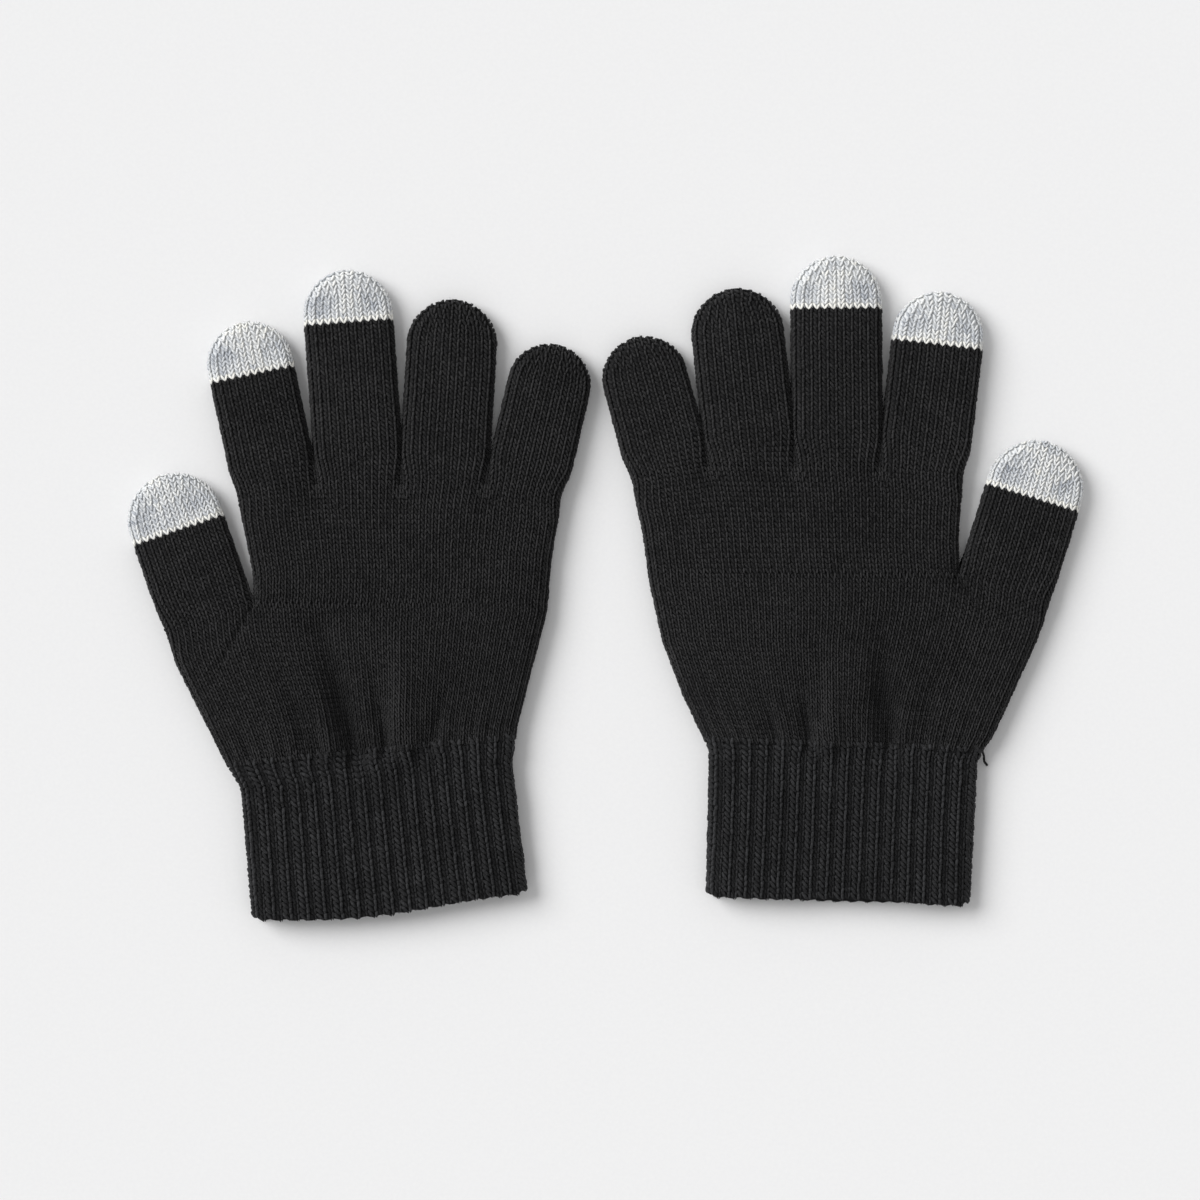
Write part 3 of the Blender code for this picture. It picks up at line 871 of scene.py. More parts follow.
hands = {side: hand_patches(pattern) for side, pattern in patterns.items()}
for side in SIDES:
    upper, root, lower, ends = hands[side]
    print(side, "wrist", round(float(np.linalg.norm(ends[1] - ends[0])) / MM, 1), "mm across, rows",
          [round(patch.length / COURSE) for patch in (upper, root, lower)])

# %% [markdown]
# ## The cuff's patch
# The cuff is one more patch, from the wrist line to the hem. Its corners are rounded, each rib makes a
# small scallop at the hem, and the two layers of a worn glove never end quite level: one hem bows down,
# and on the other glove the upper layer has slipped back a little.

# %% The cuff between wrist and hem
HEM_CORNER = 3 * MM
SCALLOP = 0.3 * MM
HEM_WAVE = 0.2 * MM
HEM_SLIP = {"left": 0.0, "right": 1.4 * MM}
HEM_BOW = {"left": 2.3 * MM, "right": 0.0}
SLIP_SPAN = (0.12, 0.78)


def cuff_patch(pattern, ends, slip, bow):
    """The cuff, from the wrist to the hem. slip shortens its middle, bow lets it hang lower."""
    faces = wrist_frame(pattern, "cuff")
    hem = faces[:, :, 1].min() + PROUD
    levels = np.arange(hem + HEM_CORNER, -0.6 * MM, LEVEL_STEP)
    spans = [level_spans(faces, level) for level in levels]
    low = np.array([span[0][0] + PROUD for span in spans])
    high = np.array([span[-1][1] - PROUD for span in spans])

    def bottom(u):
        u = np.asarray(u, float)
        x = low[0] + (high[0] - low[0]) * u
        inside = np.clip(np.minimum(x - low[0], high[0] - x) / HEM_CORNER, 0, 1)
        rise = HEM_CORNER * (1 - np.sqrt(1 - (1 - inside) ** 2))
        rise = rise + slip * smooth(4 * (SLIP_SPAN[1] - u)) * smooth(4 * (u - SLIP_SPAN[0]))
        rise = rise - bow * np.sin(np.pi * u ** 0.7) ** 2 + HEM_WAVE * np.sin(9 * u)
        rise = rise + SCALLOP * np.cos(2 * np.pi * RIBS * u) * (inside > 0.9)
        return from_wrist(pattern, x, hem + rise)

    def edge(table, start, end):
        def made(t):
            level = (hem + HEM_CORNER) * np.asarray(t, float)
            x = np.interp(level, levels, table)
            points = from_wrist(pattern, x, level)
            first, last = (from_wrist(pattern, table[i], levels[i]) for i in (-1, 0))
            return points + lerp(start - first, end - last, t)
        return made

    return Patch(pattern, lambda u: lerp(ends[0], ends[1], u), bottom,
                 edge(low, ends[0], bottom(0.0)), edge(high, ends[1], bottom(1.0)), True, True)


print("left cuff is", round(cuff_patch(patterns["left"], hands["left"][3], 0, 0).length / MM, 1), "mm long")

# %% [markdown]
# ## Knitting the patches
# The palm is plain knitting in even columns, and its tone is painted darker in the folds and lighter on
# the ridges. A rib is a raised column with a sunk one beside it, and the sunk one is painted darker, as
# painted shade where little light reaches it. Where two fingers part, nine small tight stitches close
# the fabric, as a knitter's needle does.

# %% Stitches of the palm and the cuff
RIB_COURSE = 1.74 * MM
SLOPE_STEP = 0.002
RIB = {1: {"lift": 0.4 * MM, "depth": 1.5}, -1: {"lift": 0.3 * MM, "depth": 1.1}}
RIB_WIDTH, RIB_TONE = 0.68, 0.56
# The sunk columns' lower tone is painted shade.
GROOVE_WIDTH, GROOVE_PAINTED_SHADE = 0.5, 0.33
CLOSING_REACH = (0.011, 0.020, 0.011)
CLOSING_STITCH = (1.7 * MM, 1.3 * MM)


def tone_with_painted_fold_shade(patch, face, u, t, tone=0.5):
    """Painted shade and painted highlight: the tone is lowered in deep folds, which hold less light, and
    raised on ridges, which catch more.
    """
    if face < 0:
        return tone
    return tone - PAINTED_FOLD_SHADE * fold_depth(patch.plan(u, t), patch.pattern)


def knit_patch(stitches, patch, columns, face, start=0.0, end=1.0):
    rows = int(round(patch.length / COURSE))
    surface = patch.surface(face)
    for t in (np.arange(rows) + 0.5) / rows:
        if not start <= t < end:
            continue
        at, width = patch.even_columns(columns, face, t)
        rows_t = np.full(columns, t)
        stitches.add(surface, at, rows_t, face, width, COURSE, step=SLOPE_STEP,
                     tone=tone_with_painted_fold_shade(patch, face, at, rows_t), forward=-1)


def close_crotches(stitches, patch, face):
    """The small tight stitches that close the fabric where two fingers part."""
    surface = patch.surface(face)
    for number in (1, 2, 3):
        for row, reach in enumerate(CLOSING_REACH):
            u = number / 4 + reach * np.array([-1.0, 0.0, 1.0])
            t = np.full(3, (1.0 + 1.3 * row) * MM / patch.length)
            stitches.add(surface, u, t, face, *CLOSING_STITCH, step=SLOPE_STEP, tone=0.75,
                         lift=0.45 * MM, forward=-1)


def knit_cuff(stitches, patch, face):
    rows = int(round(patch.length / RIB_COURSE))
    surface = patch.surface(face)
    for t in (np.arange(rows) + 0.5) / rows:
        u, arc = patch.row(face, t)
        pitch = arc[-1] / RIBS
        ribs = np.interp((np.arange(RIBS) + 0.5) * pitch, arc, u)
        stitches.add(surface, ribs, np.full(RIBS, t), face, pitch * RIB_WIDTH, RIB_COURSE,
                     step=SLOPE_STEP, tone=RIB_TONE, forward=-1, **RIB[face])
        grooves = np.interp(np.arange(1, RIBS) * pitch, arc, u)
        stitches.add(surface, grooves, np.full(RIBS - 1, t), face, pitch * GROOVE_WIDTH, RIB_COURSE,
                     step=SLOPE_STEP, tone=GROOVE_PAINTED_SHADE, lift=0.05 * MM, depth=0.9, forward=-1)


print("rib rows", RIB_COURSE / MM, "mm high")

# %% [markdown]
# ## The lining
# Knitting is full of small gaps, but two layers of it let no light through. More yarn behind each stitch
# would double the mesh. A thin closed shell just under the stitches stands for the shaded inside of the
# yarn instead, and gives the cuff its inner wall. Under black stitches its tone is set darker, as painted
# shade.

# %% Lining shells
SHELL = 0.6 * MM


class Shell:
    """Grids of points welded into one surface and given a thickness."""

    def __init__(self, side):
        self.side, self.points, self.faces = side, [], []

    def grid(self, rows, face, upward):
        rows = np.array(rows)
        lines, across = rows.shape[:2]
        first = sum(len(p) for p in self.points)
        self.points.append(rows.reshape(-1, 3))
        for r in range(lines - 1):
            for c in range(across - 1):
                a = first + r * across + c
                quad = (a, a + 1, a + 1 + across, a + across)
                keep = upward == (face > 0)
                if self.side == "right":
                    keep = not keep
                self.faces.append(quad if keep else quad[::-1])

    # A black lining's tone of 0.3, below the stitches' 0.5, is painted shade for the yarn's shaded inside.
    def made(self, name, weld=0.12 * MM, tone=0.3):
        points = np.concatenate(self.points) * (turned(self.side), 1, 1)
        mesh = bpy.data.meshes.new(name)
        mesh.from_pydata(points.tolist(), [], self.faces)
        work = bmesh.new()
        work.from_mesh(mesh)
        bmesh.ops.remove_doubles(work, verts=work.verts, dist=weld)
        bmesh.ops.dissolve_degenerate(work, edges=work.edges, dist=0.01 * MM)
        work.to_mesh(mesh)
        work.free()
        shade = mesh.attributes.new("tone", "FLOAT", "POINT")
        shade.data.foreach_set("value", np.full(len(mesh.vertices), tone, np.float32))
        shell = bpy.data.objects.new(name, mesh)
        scene.collection.objects.link(shell)
        thick = shell.modifiers.new("thickness", "SOLIDIFY")
        thick.thickness, thick.offset = SHELL, -1
        for polygon in mesh.polygons:
            polygon.use_smooth = True
        return shell


def line_patch(shell, patch, face, start=0.0, end=1.0, rows=26, columns=34):
    t = np.linspace(start, end, rows)
    grid = []
    for value in t:
        u, arc = patch.row(face, value)
        at = np.interp(np.linspace(0, arc[-1], columns), arc, u)
        grid.append(patch.surface(face)(at, np.full(columns, value)))
    shell.grid(grid, face, upward=False)


def line_finger(shell, digit, pattern, start, end, columns=18):
    rows = max(4, int((end - start) / (2.2 * MM)))
    dome = 0.6 * digit.half
    last = digit.length - dome
    s_values = list(np.linspace(start, min(end, last), rows))
    if end >= digit.length:
        s_values += list(last + dome * np.sin(np.linspace(0, np.pi / 2, 8))[1:])
    for face in (1, -1):
        surface, grid = finger_surface(digit, face, pattern), []
        for s in s_values:
            width = half_width(digit, s)
            x = edge_steps(-width, width, True, True)
            arc = arc_length(surface(x, np.full(len(x), s)))
            at = np.interp(np.linspace(0, arc[-1], columns), arc, x)
            grid.append(surface(at, np.full(columns, s)))
        shell.grid(grid, face, upward=True)


print("lining", SHELL / MM, "mm thick")

# %% [markdown]
# ## One stitch
# The front of a knit stitch is a V: two plump legs of the same loop. This yarn is twisted one way,
# so the machine leaves one leg leaning and the other nearly upright, and the columns look like cords.
# Each leg is a closed spindle of 16 faces, long enough to tuck under the stitch above it. A bevelled
# curve would take ten times as many faces, and there are about 25,000 stitches.

# %% Stitch and fibre shapes
LEG_SIDES = 4
LEG_STATIONS = (-1.0, -0.55, 0.05, 0.6, 1.0)
FIBRE_STATIONS = (-1.0, -0.4, 0.4, 1.0)


def spindle(start, end, radius, bulge=0.0, sides=LEG_SIDES, stations=LEG_STATIONS):
    """A closed strand from start to end. Returns its points, faces and strand UVs."""
    points, faces, uvs = [], [], []
    start, end = np.array(start), np.array(end)
    rings = stations[1:-1]
    points.append(start)
    for station in rings:
        middle = start + (end - start) * (station + 1) / 2
        middle[0] += bulge * (1 - station ** 2)
        girth = math.sqrt(1 - station ** 2 * 0.75)
        for k in range(sides):
            angle = 2 * np.pi * (k + 0.5) / sides
            out = np.array([radius[0] * np.cos(angle), 0, radius[1] * np.sin(angle)])
            points.append(middle + out * girth)
    points.append(end)
    last = len(points) - 1
    lengths = [(s + 1) / 2 for s in stations]
    for k in range(sides):
        u0, u1, after = k / sides, (k + 1) / sides, (k + 1) % sides
        faces.append((0, 1 + k, 1 + after))
        uvs.append(((u0, lengths[0]), (u0, lengths[1]), (u1, lengths[1])))
        for r in range(len(rings) - 1):
            a = 1 + r * sides
            faces.append((a + k, a + sides + k, a + sides + after, a + after))
            below, above = lengths[r + 1], lengths[r + 2]
            uvs.append(((u0, below), (u0, above), (u1, above), (u1, below)))
        a = 1 + (len(rings) - 1) * sides
        faces.append((a + k, last, a + after))
        uvs.append(((u0, lengths[-2]), (u0, lengths[-1]), (u1, lengths[-2])))
    return points, faces, uvs


def strand_object(name, strands):
    """One mesh of several strands, numbered from 0 in the point attribute leg."""
    points, faces, uvs, legs = [], [], [], []
    for number, made in enumerate(strands):
        shift = len(points)
        points += list(made[0])
        legs += [float(number)] * len(made[0])
        faces += [tuple(i + shift for i in face) for face in made[1]]
        uvs += made[2]
    mesh = bpy.data.meshes.new(name)
    mesh.from_pydata([tuple(p) for p in points], [], faces)
    leg = mesh.attributes.new("leg", "FLOAT", "POINT")
    leg.data.foreach_set("value", legs)
    layer = mesh.uv_layers.new(name="strand")
    flat = [pair for face in uvs for pair in face]
    layer.data.foreach_set("uv", np.array(flat, np.float32).ravel())
    for polygon in mesh.polygons:
        polygon.use_smooth = True
    thing = bpy.data.objects.new(name, mesh)
    scene.collection.objects.link(thing)
    return thing


print("a strand has", len(spindle((0, 0, 0), (0, 1, 0), (1, 1))[1]), "faces")

# %% [markdown]
# ## Three stitches and a fibre
# A leg's width and length are shares of its column and row, and its height is a real length. Ribs have
# thicker, longer legs. The conductive yarn is knitted with both legs leaning, so its tips show small Vs.
# The fibre is one stray hair of spun yarn.

# %% Stitch shapes
SLANTED = spindle((0.18, -0.64, 0.14 * MM), (-0.38, 0.88, -0.16 * MM), (0.24, 0.44 * MM), -0.03)
UPRIGHT = spindle((0.33, -0.66, 0.24 * MM), (0.36, 0.92, -0.10 * MM), (0.18, 0.46 * MM), 0.02)
RIB_SLANTED = spindle((0.20, -0.76, 0.20 * MM), (-0.34, 0.92, -0.12 * MM), (0.22, 0.52 * MM), -0.04)
RIB_UPRIGHT = spindle((0.32, -0.70, 0.14 * MM), (0.34, 0.94, -0.10 * MM), (0.17, 0.50 * MM), 0.01)
PALE_SLANTED = spindle((0.09, -0.82, 0.20 * MM), (-0.42, 0.84, -0.12 * MM), (0.23, 0.42 * MM), -0.02)
PALE_UPRIGHT = spindle((0.04, -0.80, 0.22 * MM), (0.40, 0.90, -0.08 * MM), (0.21, 0.42 * MM), 0.04)
shapes = {"black": strand_object("stitch_shape", [SLANTED, UPRIGHT]),
          "rib": strand_object("rib_stitch_shape", [RIB_SLANTED, RIB_UPRIGHT]),
          "pale": strand_object("pale_stitch_shape", [PALE_SLANTED, PALE_UPRIGHT])}
HAIR = spindle((0, 0, 0.1 * MM), (0.6 * MM, 1.0 * MM, 0.8 * MM), (0.03 * MM, 0.03 * MM), 0.3 * MM,
               3, FIBRE_STATIONS)
fibre_shape = strand_object("fibre_shape", [HAIR])
print("stitch:", len(shapes["black"].data.polygons), "faces")

# %% [markdown]
# ## Geometry Nodes lay the stitches
# The tree takes a cloud of points, each with the attributes `along`, `facing`, `size` and `tone`. It
# turns a copy of the stitch to each point's own axes, nudges it a little at random, adds a stray
# fibre to some of them, joins the lining, and makes everything real geometry with the yarn on it.
# A loop in the script could place the copies too, but this way one tree serves every piece.

# %% The stitch tree
TREE_INPUTS = (("Stitch", "Object"), ("Fibre", "Object"), ("Lining", "Object"), ("Yarn", "Material"),
               ("Wobble", "Float"), ("Fuzz share", "Float"), ("Seed", "Int"))
FIBRE_LEAN = ((0, -0.5, 0), (0.4, 0.5, 6.283))


def stitch_tree():
    tree = bpy.data.node_groups.new("lay_stitches", "GeometryNodeTree")
    sockets = tree.interface
    sockets.new_socket("Points", in_out="INPUT", socket_type="NodeSocketGeometry")
    sockets.new_socket("Knitting", in_out="OUTPUT", socket_type="NodeSocketGeometry")
    for name, kind in TREE_INPUTS:
        sockets.new_socket(name, in_out="INPUT", socket_type=f"NodeSocket{kind}")
    given = tree.nodes.new("NodeGroupInput").outputs

    def attribute(name):
        return node(tree, "GeometryNodeInputNamedAttribute", {"Name": name},
                    data_type="FLOAT_VECTOR").outputs["Attribute"]

    axes = node(tree, "FunctionNodeAxesToRotation", {"Primary Axis": attribute("facing"),
                                                     "Secondary Axis": attribute("along")},
                primary_axis="Z", secondary_axis="Y").outputs["Rotation"]
    def turned_at_random(low, high):
        """The stitch's own axes, turned by a random angle between low and high about each of them."""
        angles = node(tree, "FunctionNodeRandomValue", {"Min": low, "Max": high, "Seed": given["Seed"]},
                      data_type="FLOAT_VECTOR").outputs[0]
        turn = node(tree, "FunctionNodeEulerToRotation", {"Euler": angles}).outputs["Rotation"]
        return node(tree, "FunctionNodeRotateRotation", {"Rotation": axes, "Rotate By": turn},
                    rotation_space="LOCAL").outputs["Rotation"]

    least = node(tree, "ShaderNodeMath", {0: given["Wobble"], 1: -1.0}, operation="MULTIPLY").outputs[0]
    stitch = node(tree, "GeometryNodeObjectInfo", {"Object": given["Stitch"]}).outputs["Geometry"]
    stitched = node(tree, "GeometryNodeInstanceOnPoints", {
        "Points": given["Points"], "Instance": stitch, "Scale": attribute("size"),
        "Rotation": turned_at_random(least, given["Wobble"])})
    some = node(tree, "FunctionNodeRandomValue", {"Probability": given["Fuzz share"],
                                                  "Seed": given["Seed"]}, data_type="BOOLEAN")
    fibre = node(tree, "GeometryNodeObjectInfo", {"Object": given["Fibre"]}).outputs["Geometry"]
    fuzzed = node(tree, "GeometryNodeInstanceOnPoints", {
        "Points": given["Points"], "Selection": some.outputs[3], "Instance": fibre,
        "Rotation": turned_at_random(*FIBRE_LEAN)})
    lining = node(tree, "GeometryNodeObjectInfo", {"Object": given["Lining"]}).outputs["Geometry"]
    join = tree.nodes.new("GeometryNodeJoinGeometry")
    for part in (lining, fuzzed.outputs["Instances"], stitched.outputs["Instances"]):
        tree.links.new(part, join.inputs["Geometry"])
    real = node(tree, "GeometryNodeRealizeInstances", {"Geometry": join.outputs["Geometry"]})
    dyed = node(tree, "GeometryNodeSetMaterial", {"Geometry": real.outputs["Geometry"],
                                                  "Material": given["Yarn"]})
    node(tree, "NodeGroupOutput", {"Knitting": dyed.outputs["Geometry"]})
    return tree


laying = stitch_tree()
print("stitch tree:", len(laying.nodes), "nodes")

# %% [markdown]
# ## From points to a finished piece
# A piece's stitches become a mesh of loose points with attributes. The modifier's inputs are set before
# it is first evaluated, and the result is kept as a plain mesh.

# %% Making a piece
WOBBLE = 0.13
FUZZ_SHARE = 0.3
seeds = iter(range(11, 200))
totals = {"stitches": 0, "triangles": 0}


def points_object(name, table, side):
    table = table.copy()
    table[:, (0, 3, 6)] *= turned(side)
    mesh = bpy.data.meshes.new(name)
    mesh.from_pydata(table[:, :3].tolist(), [], [])
    for key, columns in (("along", slice(3, 6)), ("facing", slice(6, 9)), ("size", slice(9, 12))):
        layer = mesh.attributes.new(key, "FLOAT_VECTOR", "POINT")
        layer.data.foreach_set("vector", np.ascontiguousarray(table[:, columns], np.float32).ravel())
    tone = mesh.attributes.new("tone", "FLOAT", "POINT")
    tone.data.foreach_set("value", np.ascontiguousarray(table[:, 12], np.float32))
    made = bpy.data.objects.new(name, mesh)
    scene.collection.objects.link(made)
    return made


def knit_piece(name, stitches, side, yarn_name, lining=None):
    source = points_object(name + "_points", stitches.table(), side)
    layer = source.modifiers.new("lay stitches", "NODES")
    layer.node_group = laying
    settings = {"Stitch": shapes[yarn_name], "Fibre": fibre_shape, "Lining": lining,
                "Yarn": YARNS[yarn_name], "Wobble": WOBBLE, "Fuzz share": FUZZ_SHARE, "Seed": next(seeds)}
    for item in laying.interface.items_tree:
        if settings.get(item.name) is not None:
            layer[item.identifier] = settings[item.name]
    ready = source.evaluated_get(bpy.context.evaluated_depsgraph_get())
    mesh = bpy.data.meshes.new_from_object(ready)
    mesh.name = name
    made = bpy.data.objects.new(name, mesh)
    scene.collection.objects.link(made)
    for used in (source, lining):
        if used is not None:
            bpy.data.objects.remove(used)
    mesh.calc_loop_triangles()
    totals["stitches"] += len(stitches.table())
    totals["triangles"] += len(mesh.loop_triangles)
    print(name, len(stitches.table()), "stitches,", len(mesh.loop_triangles), "triangles")
    return made


def place(pattern, flat, z=MIDDLE_HEIGHT):
    return (float(flat[0]) * turned(pattern.side), float(flat[1]), z)


print("pieces are knitted with a wobble of", WOBBLE, "radians")

# %% [markdown]
# ## The palm and the back
# The two layers of the hand are one tube on the real glove. Here they are separate pieces only to keep
# each mesh small. Both ride on the hand, and the palm piece carries the lining of both.

# %% A hand
WRIST_BLEND = 8 * MM
HAND_WELD = 0.3 * MM
PALM_COLUMNS = sum(FINGER_COLUMNS[name] for name in FINGERS)


def knit_hand(side):
    upper, root, lower, _ = hands[side]
    stop = 1 - WRIST_BLEND / lower.length
    shell = Shell(side)
    for face in (1, -1):
        line_patch(shell, upper, face, columns=60)
        line_patch(shell, root, face, 0, stop, columns=22)
        line_patch(shell, lower, face, 0, stop, columns=52)
    for face, label in ((1, "palm"), (-1, "back")):
        stitches = Stitches()
        knit_patch(stitches, upper, PALM_COLUMNS, face)
        close_crotches(stitches, upper, face)
        knit_patch(stitches, root, FINGER_COLUMNS["thumb"], face, 0, stop)
        knit_patch(stitches, lower, PALM_COLUMNS, face, 0, stop)
        lining = shell.made(f"{side}_hand_lining", HAND_WELD) if face > 0 else None
        piece = knit_piece(f"{side}_{label}_knit", stitches, side, "black", lining)
        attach(piece, f"{side}_hand")
        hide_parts(f"{side}_hand")


print("palm columns:", PALM_COLUMNS, "and", FINGER_COLUMNS["thumb"], "of the thumb")

# %% [markdown]
# ## The wrist and the cuff
# The band beside the wrist and the ribs are knitted as pieces of their own, apart from the hand piece,
# with their transforms baked into their meshes.

# %% A wrist and its cuff


def bend_at_wrist(piece, side):
    pattern = patterns[side]
    place(pattern, pattern.wrist + pattern.waist_up * WRIST_BLEND)
    place(pattern, pattern.wrist - pattern.waist_up * WRIST_BLEND / 2)
    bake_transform(piece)


def knit_wrist(side):
    _, root, lower, _ = hands[side]
    stop = 1 - WRIST_BLEND / lower.length
    stitches, shell = Stitches(), Shell(side)
    for face in (1, -1):
        knit_patch(stitches, root, FINGER_COLUMNS["thumb"], face, stop, 1)
        knit_patch(stitches, lower, PALM_COLUMNS, face, stop, 1)
        line_patch(shell, root, face, stop, 1, rows=8, columns=22)
        line_patch(shell, lower, face, stop, 1, rows=8, columns=52)
    piece = knit_piece(f"{side}_wrist_knit", stitches, side, "black",
                       shell.made(f"{side}_wrist_lining", HAND_WELD))
    bend_at_wrist(piece, side)


def knit_ribs(side):
    stitches, shell = Stitches(), Shell(side)
    for face in (1, -1):
        patch = cuff_patch(patterns[side], hands[side][3], HEM_SLIP[side] if face > 0 else 0, HEM_BOW[side])
        knit_cuff(stitches, patch, face)
        line_patch(shell, patch, face, rows=24, columns=70)
    piece = knit_piece(f"{side}_cuff_ribs", stitches, side, "rib", shell.made(f"{side}_cuff_lining"))
    bend_at_wrist(piece, side)
    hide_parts(f"{side}_cuff")


for side in SIDES:
    knit_hand(side)
    knit_wrist(side)
    knit_ribs(side)
print("so far", totals["stitches"], "stitches")

# %% [markdown]
# ## Fingers and thumbs
# Each digit is three pieces at most: up to the middle of the finger, past it, and the pale tip. The
# tip rides on the finger's upper part.

# %% A digit's pieces
KNUCKLE_BLEND = 8 * MM
THUMB_BEND_BLEND = 7 * MM
FINGER_WELD = 0.02 * MM
BLACK_TONES = {"tone": 0.5}
PALE_TONES = {"tone": 0.62, "first_tone": 0.97}


def knit_span(side, digit, part, start, end):
    pattern, pale = patterns[side], part == "tip"
    stitches, shell = Stitches(), Shell(side)
    knit_finger(stitches, digit, pattern, start, end, **(PALE_TONES if pale else BLACK_TONES))
    line_finger(shell, digit, pattern, start, min(end, digit.length))
    lining = shell.made(f"{side}_{digit.name}_lining", FINGER_WELD, 0.6 if pale else 0.3)
    yarn_name = "pale" if pale else "black"
    return knit_piece(f"{side}_{digit.name}_{part}_knit", stitches, side, yarn_name, lining)


def knit_digit(side, digit):
    pattern, name = patterns[side], digit.name
    spread = THUMB_BEND_BLEND if name == "thumb" else KNUCKLE_BLEND
    way = digit.ahead if name == "thumb" else np.array([0, 1.0])
    split, beyond = digit.bend - spread, digit.length + 1 * MM
    knuckle = digit.root + digit.ahead * digit.knuckle
    bend = digit.root + digit.ahead * digit.bend

    piece = knit_span(side, digit, "lower", 0, split)
    place(pattern, knuckle - way * min(KNUCKLE_BLEND, digit.knuckle))
    place(pattern, knuckle + way * min(KNUCKLE_BLEND, split - digit.knuckle))
    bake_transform(piece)
    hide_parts(f"{side}_{name}_lower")

    piece = knit_span(side, digit, "upper", split, digit.pale or beyond)
    place(pattern, bend - digit.ahead * spread)
    place(pattern, bend + digit.ahead * spread)
    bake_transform(piece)
    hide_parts(f"{side}_{name}_upper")

    if digit.pale:
        piece = knit_span(side, digit, "tip", digit.pale, beyond)
        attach(piece, f"{side}_{name}_upper")
        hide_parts(f"{side}_{name}_tip")


for side in SIDES:
    for digit in patterns[side].digits.values():
        knit_digit(side, digit)
print("all digits:", totals["stitches"], "stitches,", totals["triangles"], "triangles")

# %% [markdown]
# ## Elastic thread
# A thin rubber thread, wound with black yarn, runs round and round inside the ribs and draws the cuff
# in. It is one continuous winding: across the upper layer, down the fold, back across the lower
# layer, and a little lower on each turn.

# %% Wind the elastic
TURNS = 5
THREAD = 0.3 * MM
THREAD_DEPTH = 1.25 * MM  # below the fabric's surface
THREAD_EDGE = 1.7 * MM  # in from the folded sides
THREAD_TOP, THREAD_SPAN = 0.09, 0.82  # shares of the cuff's length
FOLD_PASS = 0.96  # share of half a turn before the thread drops to the other layer
THREAD_WRAPS = 900.0


def tube(name, route, radius, sides=2):
    """A closed round cord along a route of points."""
    curve = bpy.data.curves.new(name, "CURVE")
    curve.dimensions, curve.bevel_depth, curve.bevel_resolution = "3D", radius, sides
    curve.use_fill_caps = True
    line = curve.splines.new("POLY")
    line.points.add(len(route) - 1)
    line.points.foreach_set("co", np.column_stack([route, np.ones(len(route))]).ravel())
    drawn = bpy.data.objects.new(name + "_line", curve)
    scene.collection.objects.link(drawn)
    mesh = bpy.data.meshes.new_from_object(drawn.evaluated_get(bpy.context.evaluated_depsgraph_get()))
    bpy.data.objects.remove(drawn)
    made = bpy.data.objects.new(name, mesh)
    scene.collection.objects.link(made)
    return made


def winding(pattern, patch):
    """The thread's way round inside the cuff."""
    inset = THREAD_EDGE / np.linalg.norm(patch.lines[0](1.0) - patch.lines[0](0.0))
    across = np.linspace(inset, 1 - inset, 24)
    route = []
    for turn in range(TURNS):
        for half, face in enumerate((1, -1)):
            u = across if face > 0 else across[::-1]
            t = THREAD_TOP + THREAD_SPAN * (turn + (half + np.linspace(0, FOLD_PASS, len(u))) / 2) / TURNS
            points = patch.surface(face)(u, t)
            points[:, 2] -= face * THREAD_DEPTH
            route.append(points)
    return np.concatenate(route) * (turned(pattern.side), 1, 1)


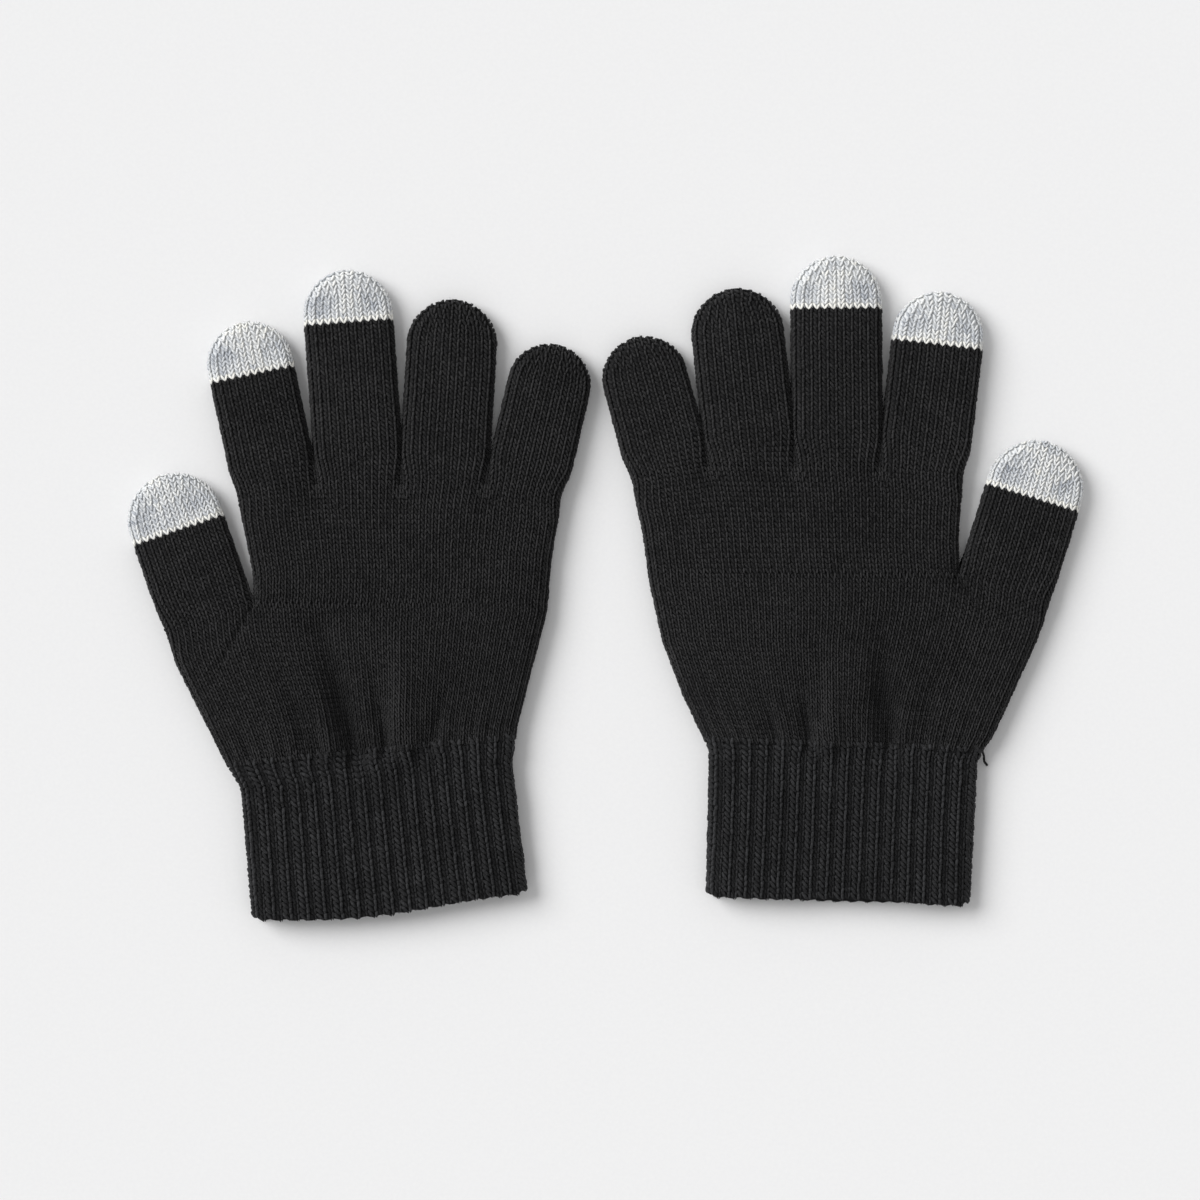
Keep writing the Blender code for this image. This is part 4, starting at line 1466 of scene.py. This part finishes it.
def wound_thread():
    made, tree = blank_material("wound_elastic")
    spot = node(tree, "ShaderNodeTexCoord").outputs["Object"]
    wrap = node(tree, "ShaderNodeTexWave", {"Vector": spot, "Scale": THREAD_WRAPS, "Distortion": 0.6},
                bands_direction="DIAGONAL")
    colour = ramp(tree, wrap.outputs["Fac"], (0.2, (0.004, 0.004, 0.005)), (0.8, (0.02, 0.02, 0.022)))
    bump = node(tree, "ShaderNodeBump", {"Height": wrap.outputs["Fac"], "Strength": 0.5,
                                         "Distance": 0.08 * MM})
    shader = node(tree, "ShaderNodeBsdfPrincipled", {"Base Color": colour,
                                                     "Normal": bump.outputs["Normal"]})
    shader.inputs["Roughness"].default_value = 0.7
    node(tree, "ShaderNodeOutputMaterial", {"Surface": shader.outputs["BSDF"]})
    return made


thread = wound_thread()
for side, pattern in patterns.items():
    patch = cuff_patch(pattern, hands[side][3], 0, HEM_BOW[side])
    piece = tube(f"{side}_wound_elastic", winding(pattern, patch), THREAD)
    piece.data.materials.append(thread)
    bend_at_wrist(piece, side)
    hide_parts(f"{side}_cuff_elastic")
    print(piece.name, len(piece.data.polygons), "faces")

# %% [markdown]
# ## A loose end of yarn
# The yarn's end is left as a short tail on the thumb side of one wrist, where the knitting changes to
# ribs. It lies against the fabric and is only a few millimetres long.

# %% The tail
TAIL_YARN = 0.4 * MM
TAIL_TONE = 0.45
TAIL = ((1.2, 2.2, 5.4), (-0.4, 0.4, 4.6), (-1.3, -1.6, 2.6), (-1.5, -3.6, 1.3),
        (-2.6, -4.9, 0.7))  # mm from the wrist's thumb side, and above the table


def yarn_tail(side):
    end = hands[side][3][0]
    route = np.array([(*(end + np.array(spot[:2]) * MM), spot[2] * MM) for spot in TAIL])
    even, knots = np.linspace(0, 1, 17), np.linspace(0, 1, len(route))
    smooth_route = np.column_stack([np.interp(even, knots, column) for column in route.T])
    smooth_route[1:-1] = (smooth_route[:-2] + 2 * smooth_route[1:-1] + smooth_route[2:]) / 4
    piece = tube(f"{side}_yarn_tail", smooth_route * (turned(side), 1, 1), TAIL_YARN)
    tone = piece.data.attributes.new("tone", "FLOAT", "POINT")
    tone.data.foreach_set("value", np.full(len(piece.data.vertices), TAIL_TONE, np.float32))
    piece.data.materials.append(YARNS["black"])
    bend_at_wrist(piece, side)
    return piece


tail = yarn_tail("right")
print(tail.name, len(tail.data.polygons), "faces")

# %% Sizes and finish
for helper in (*shapes.values(), fibre_shape):
    bpy.data.objects.remove(helper)
print("totals", totals)
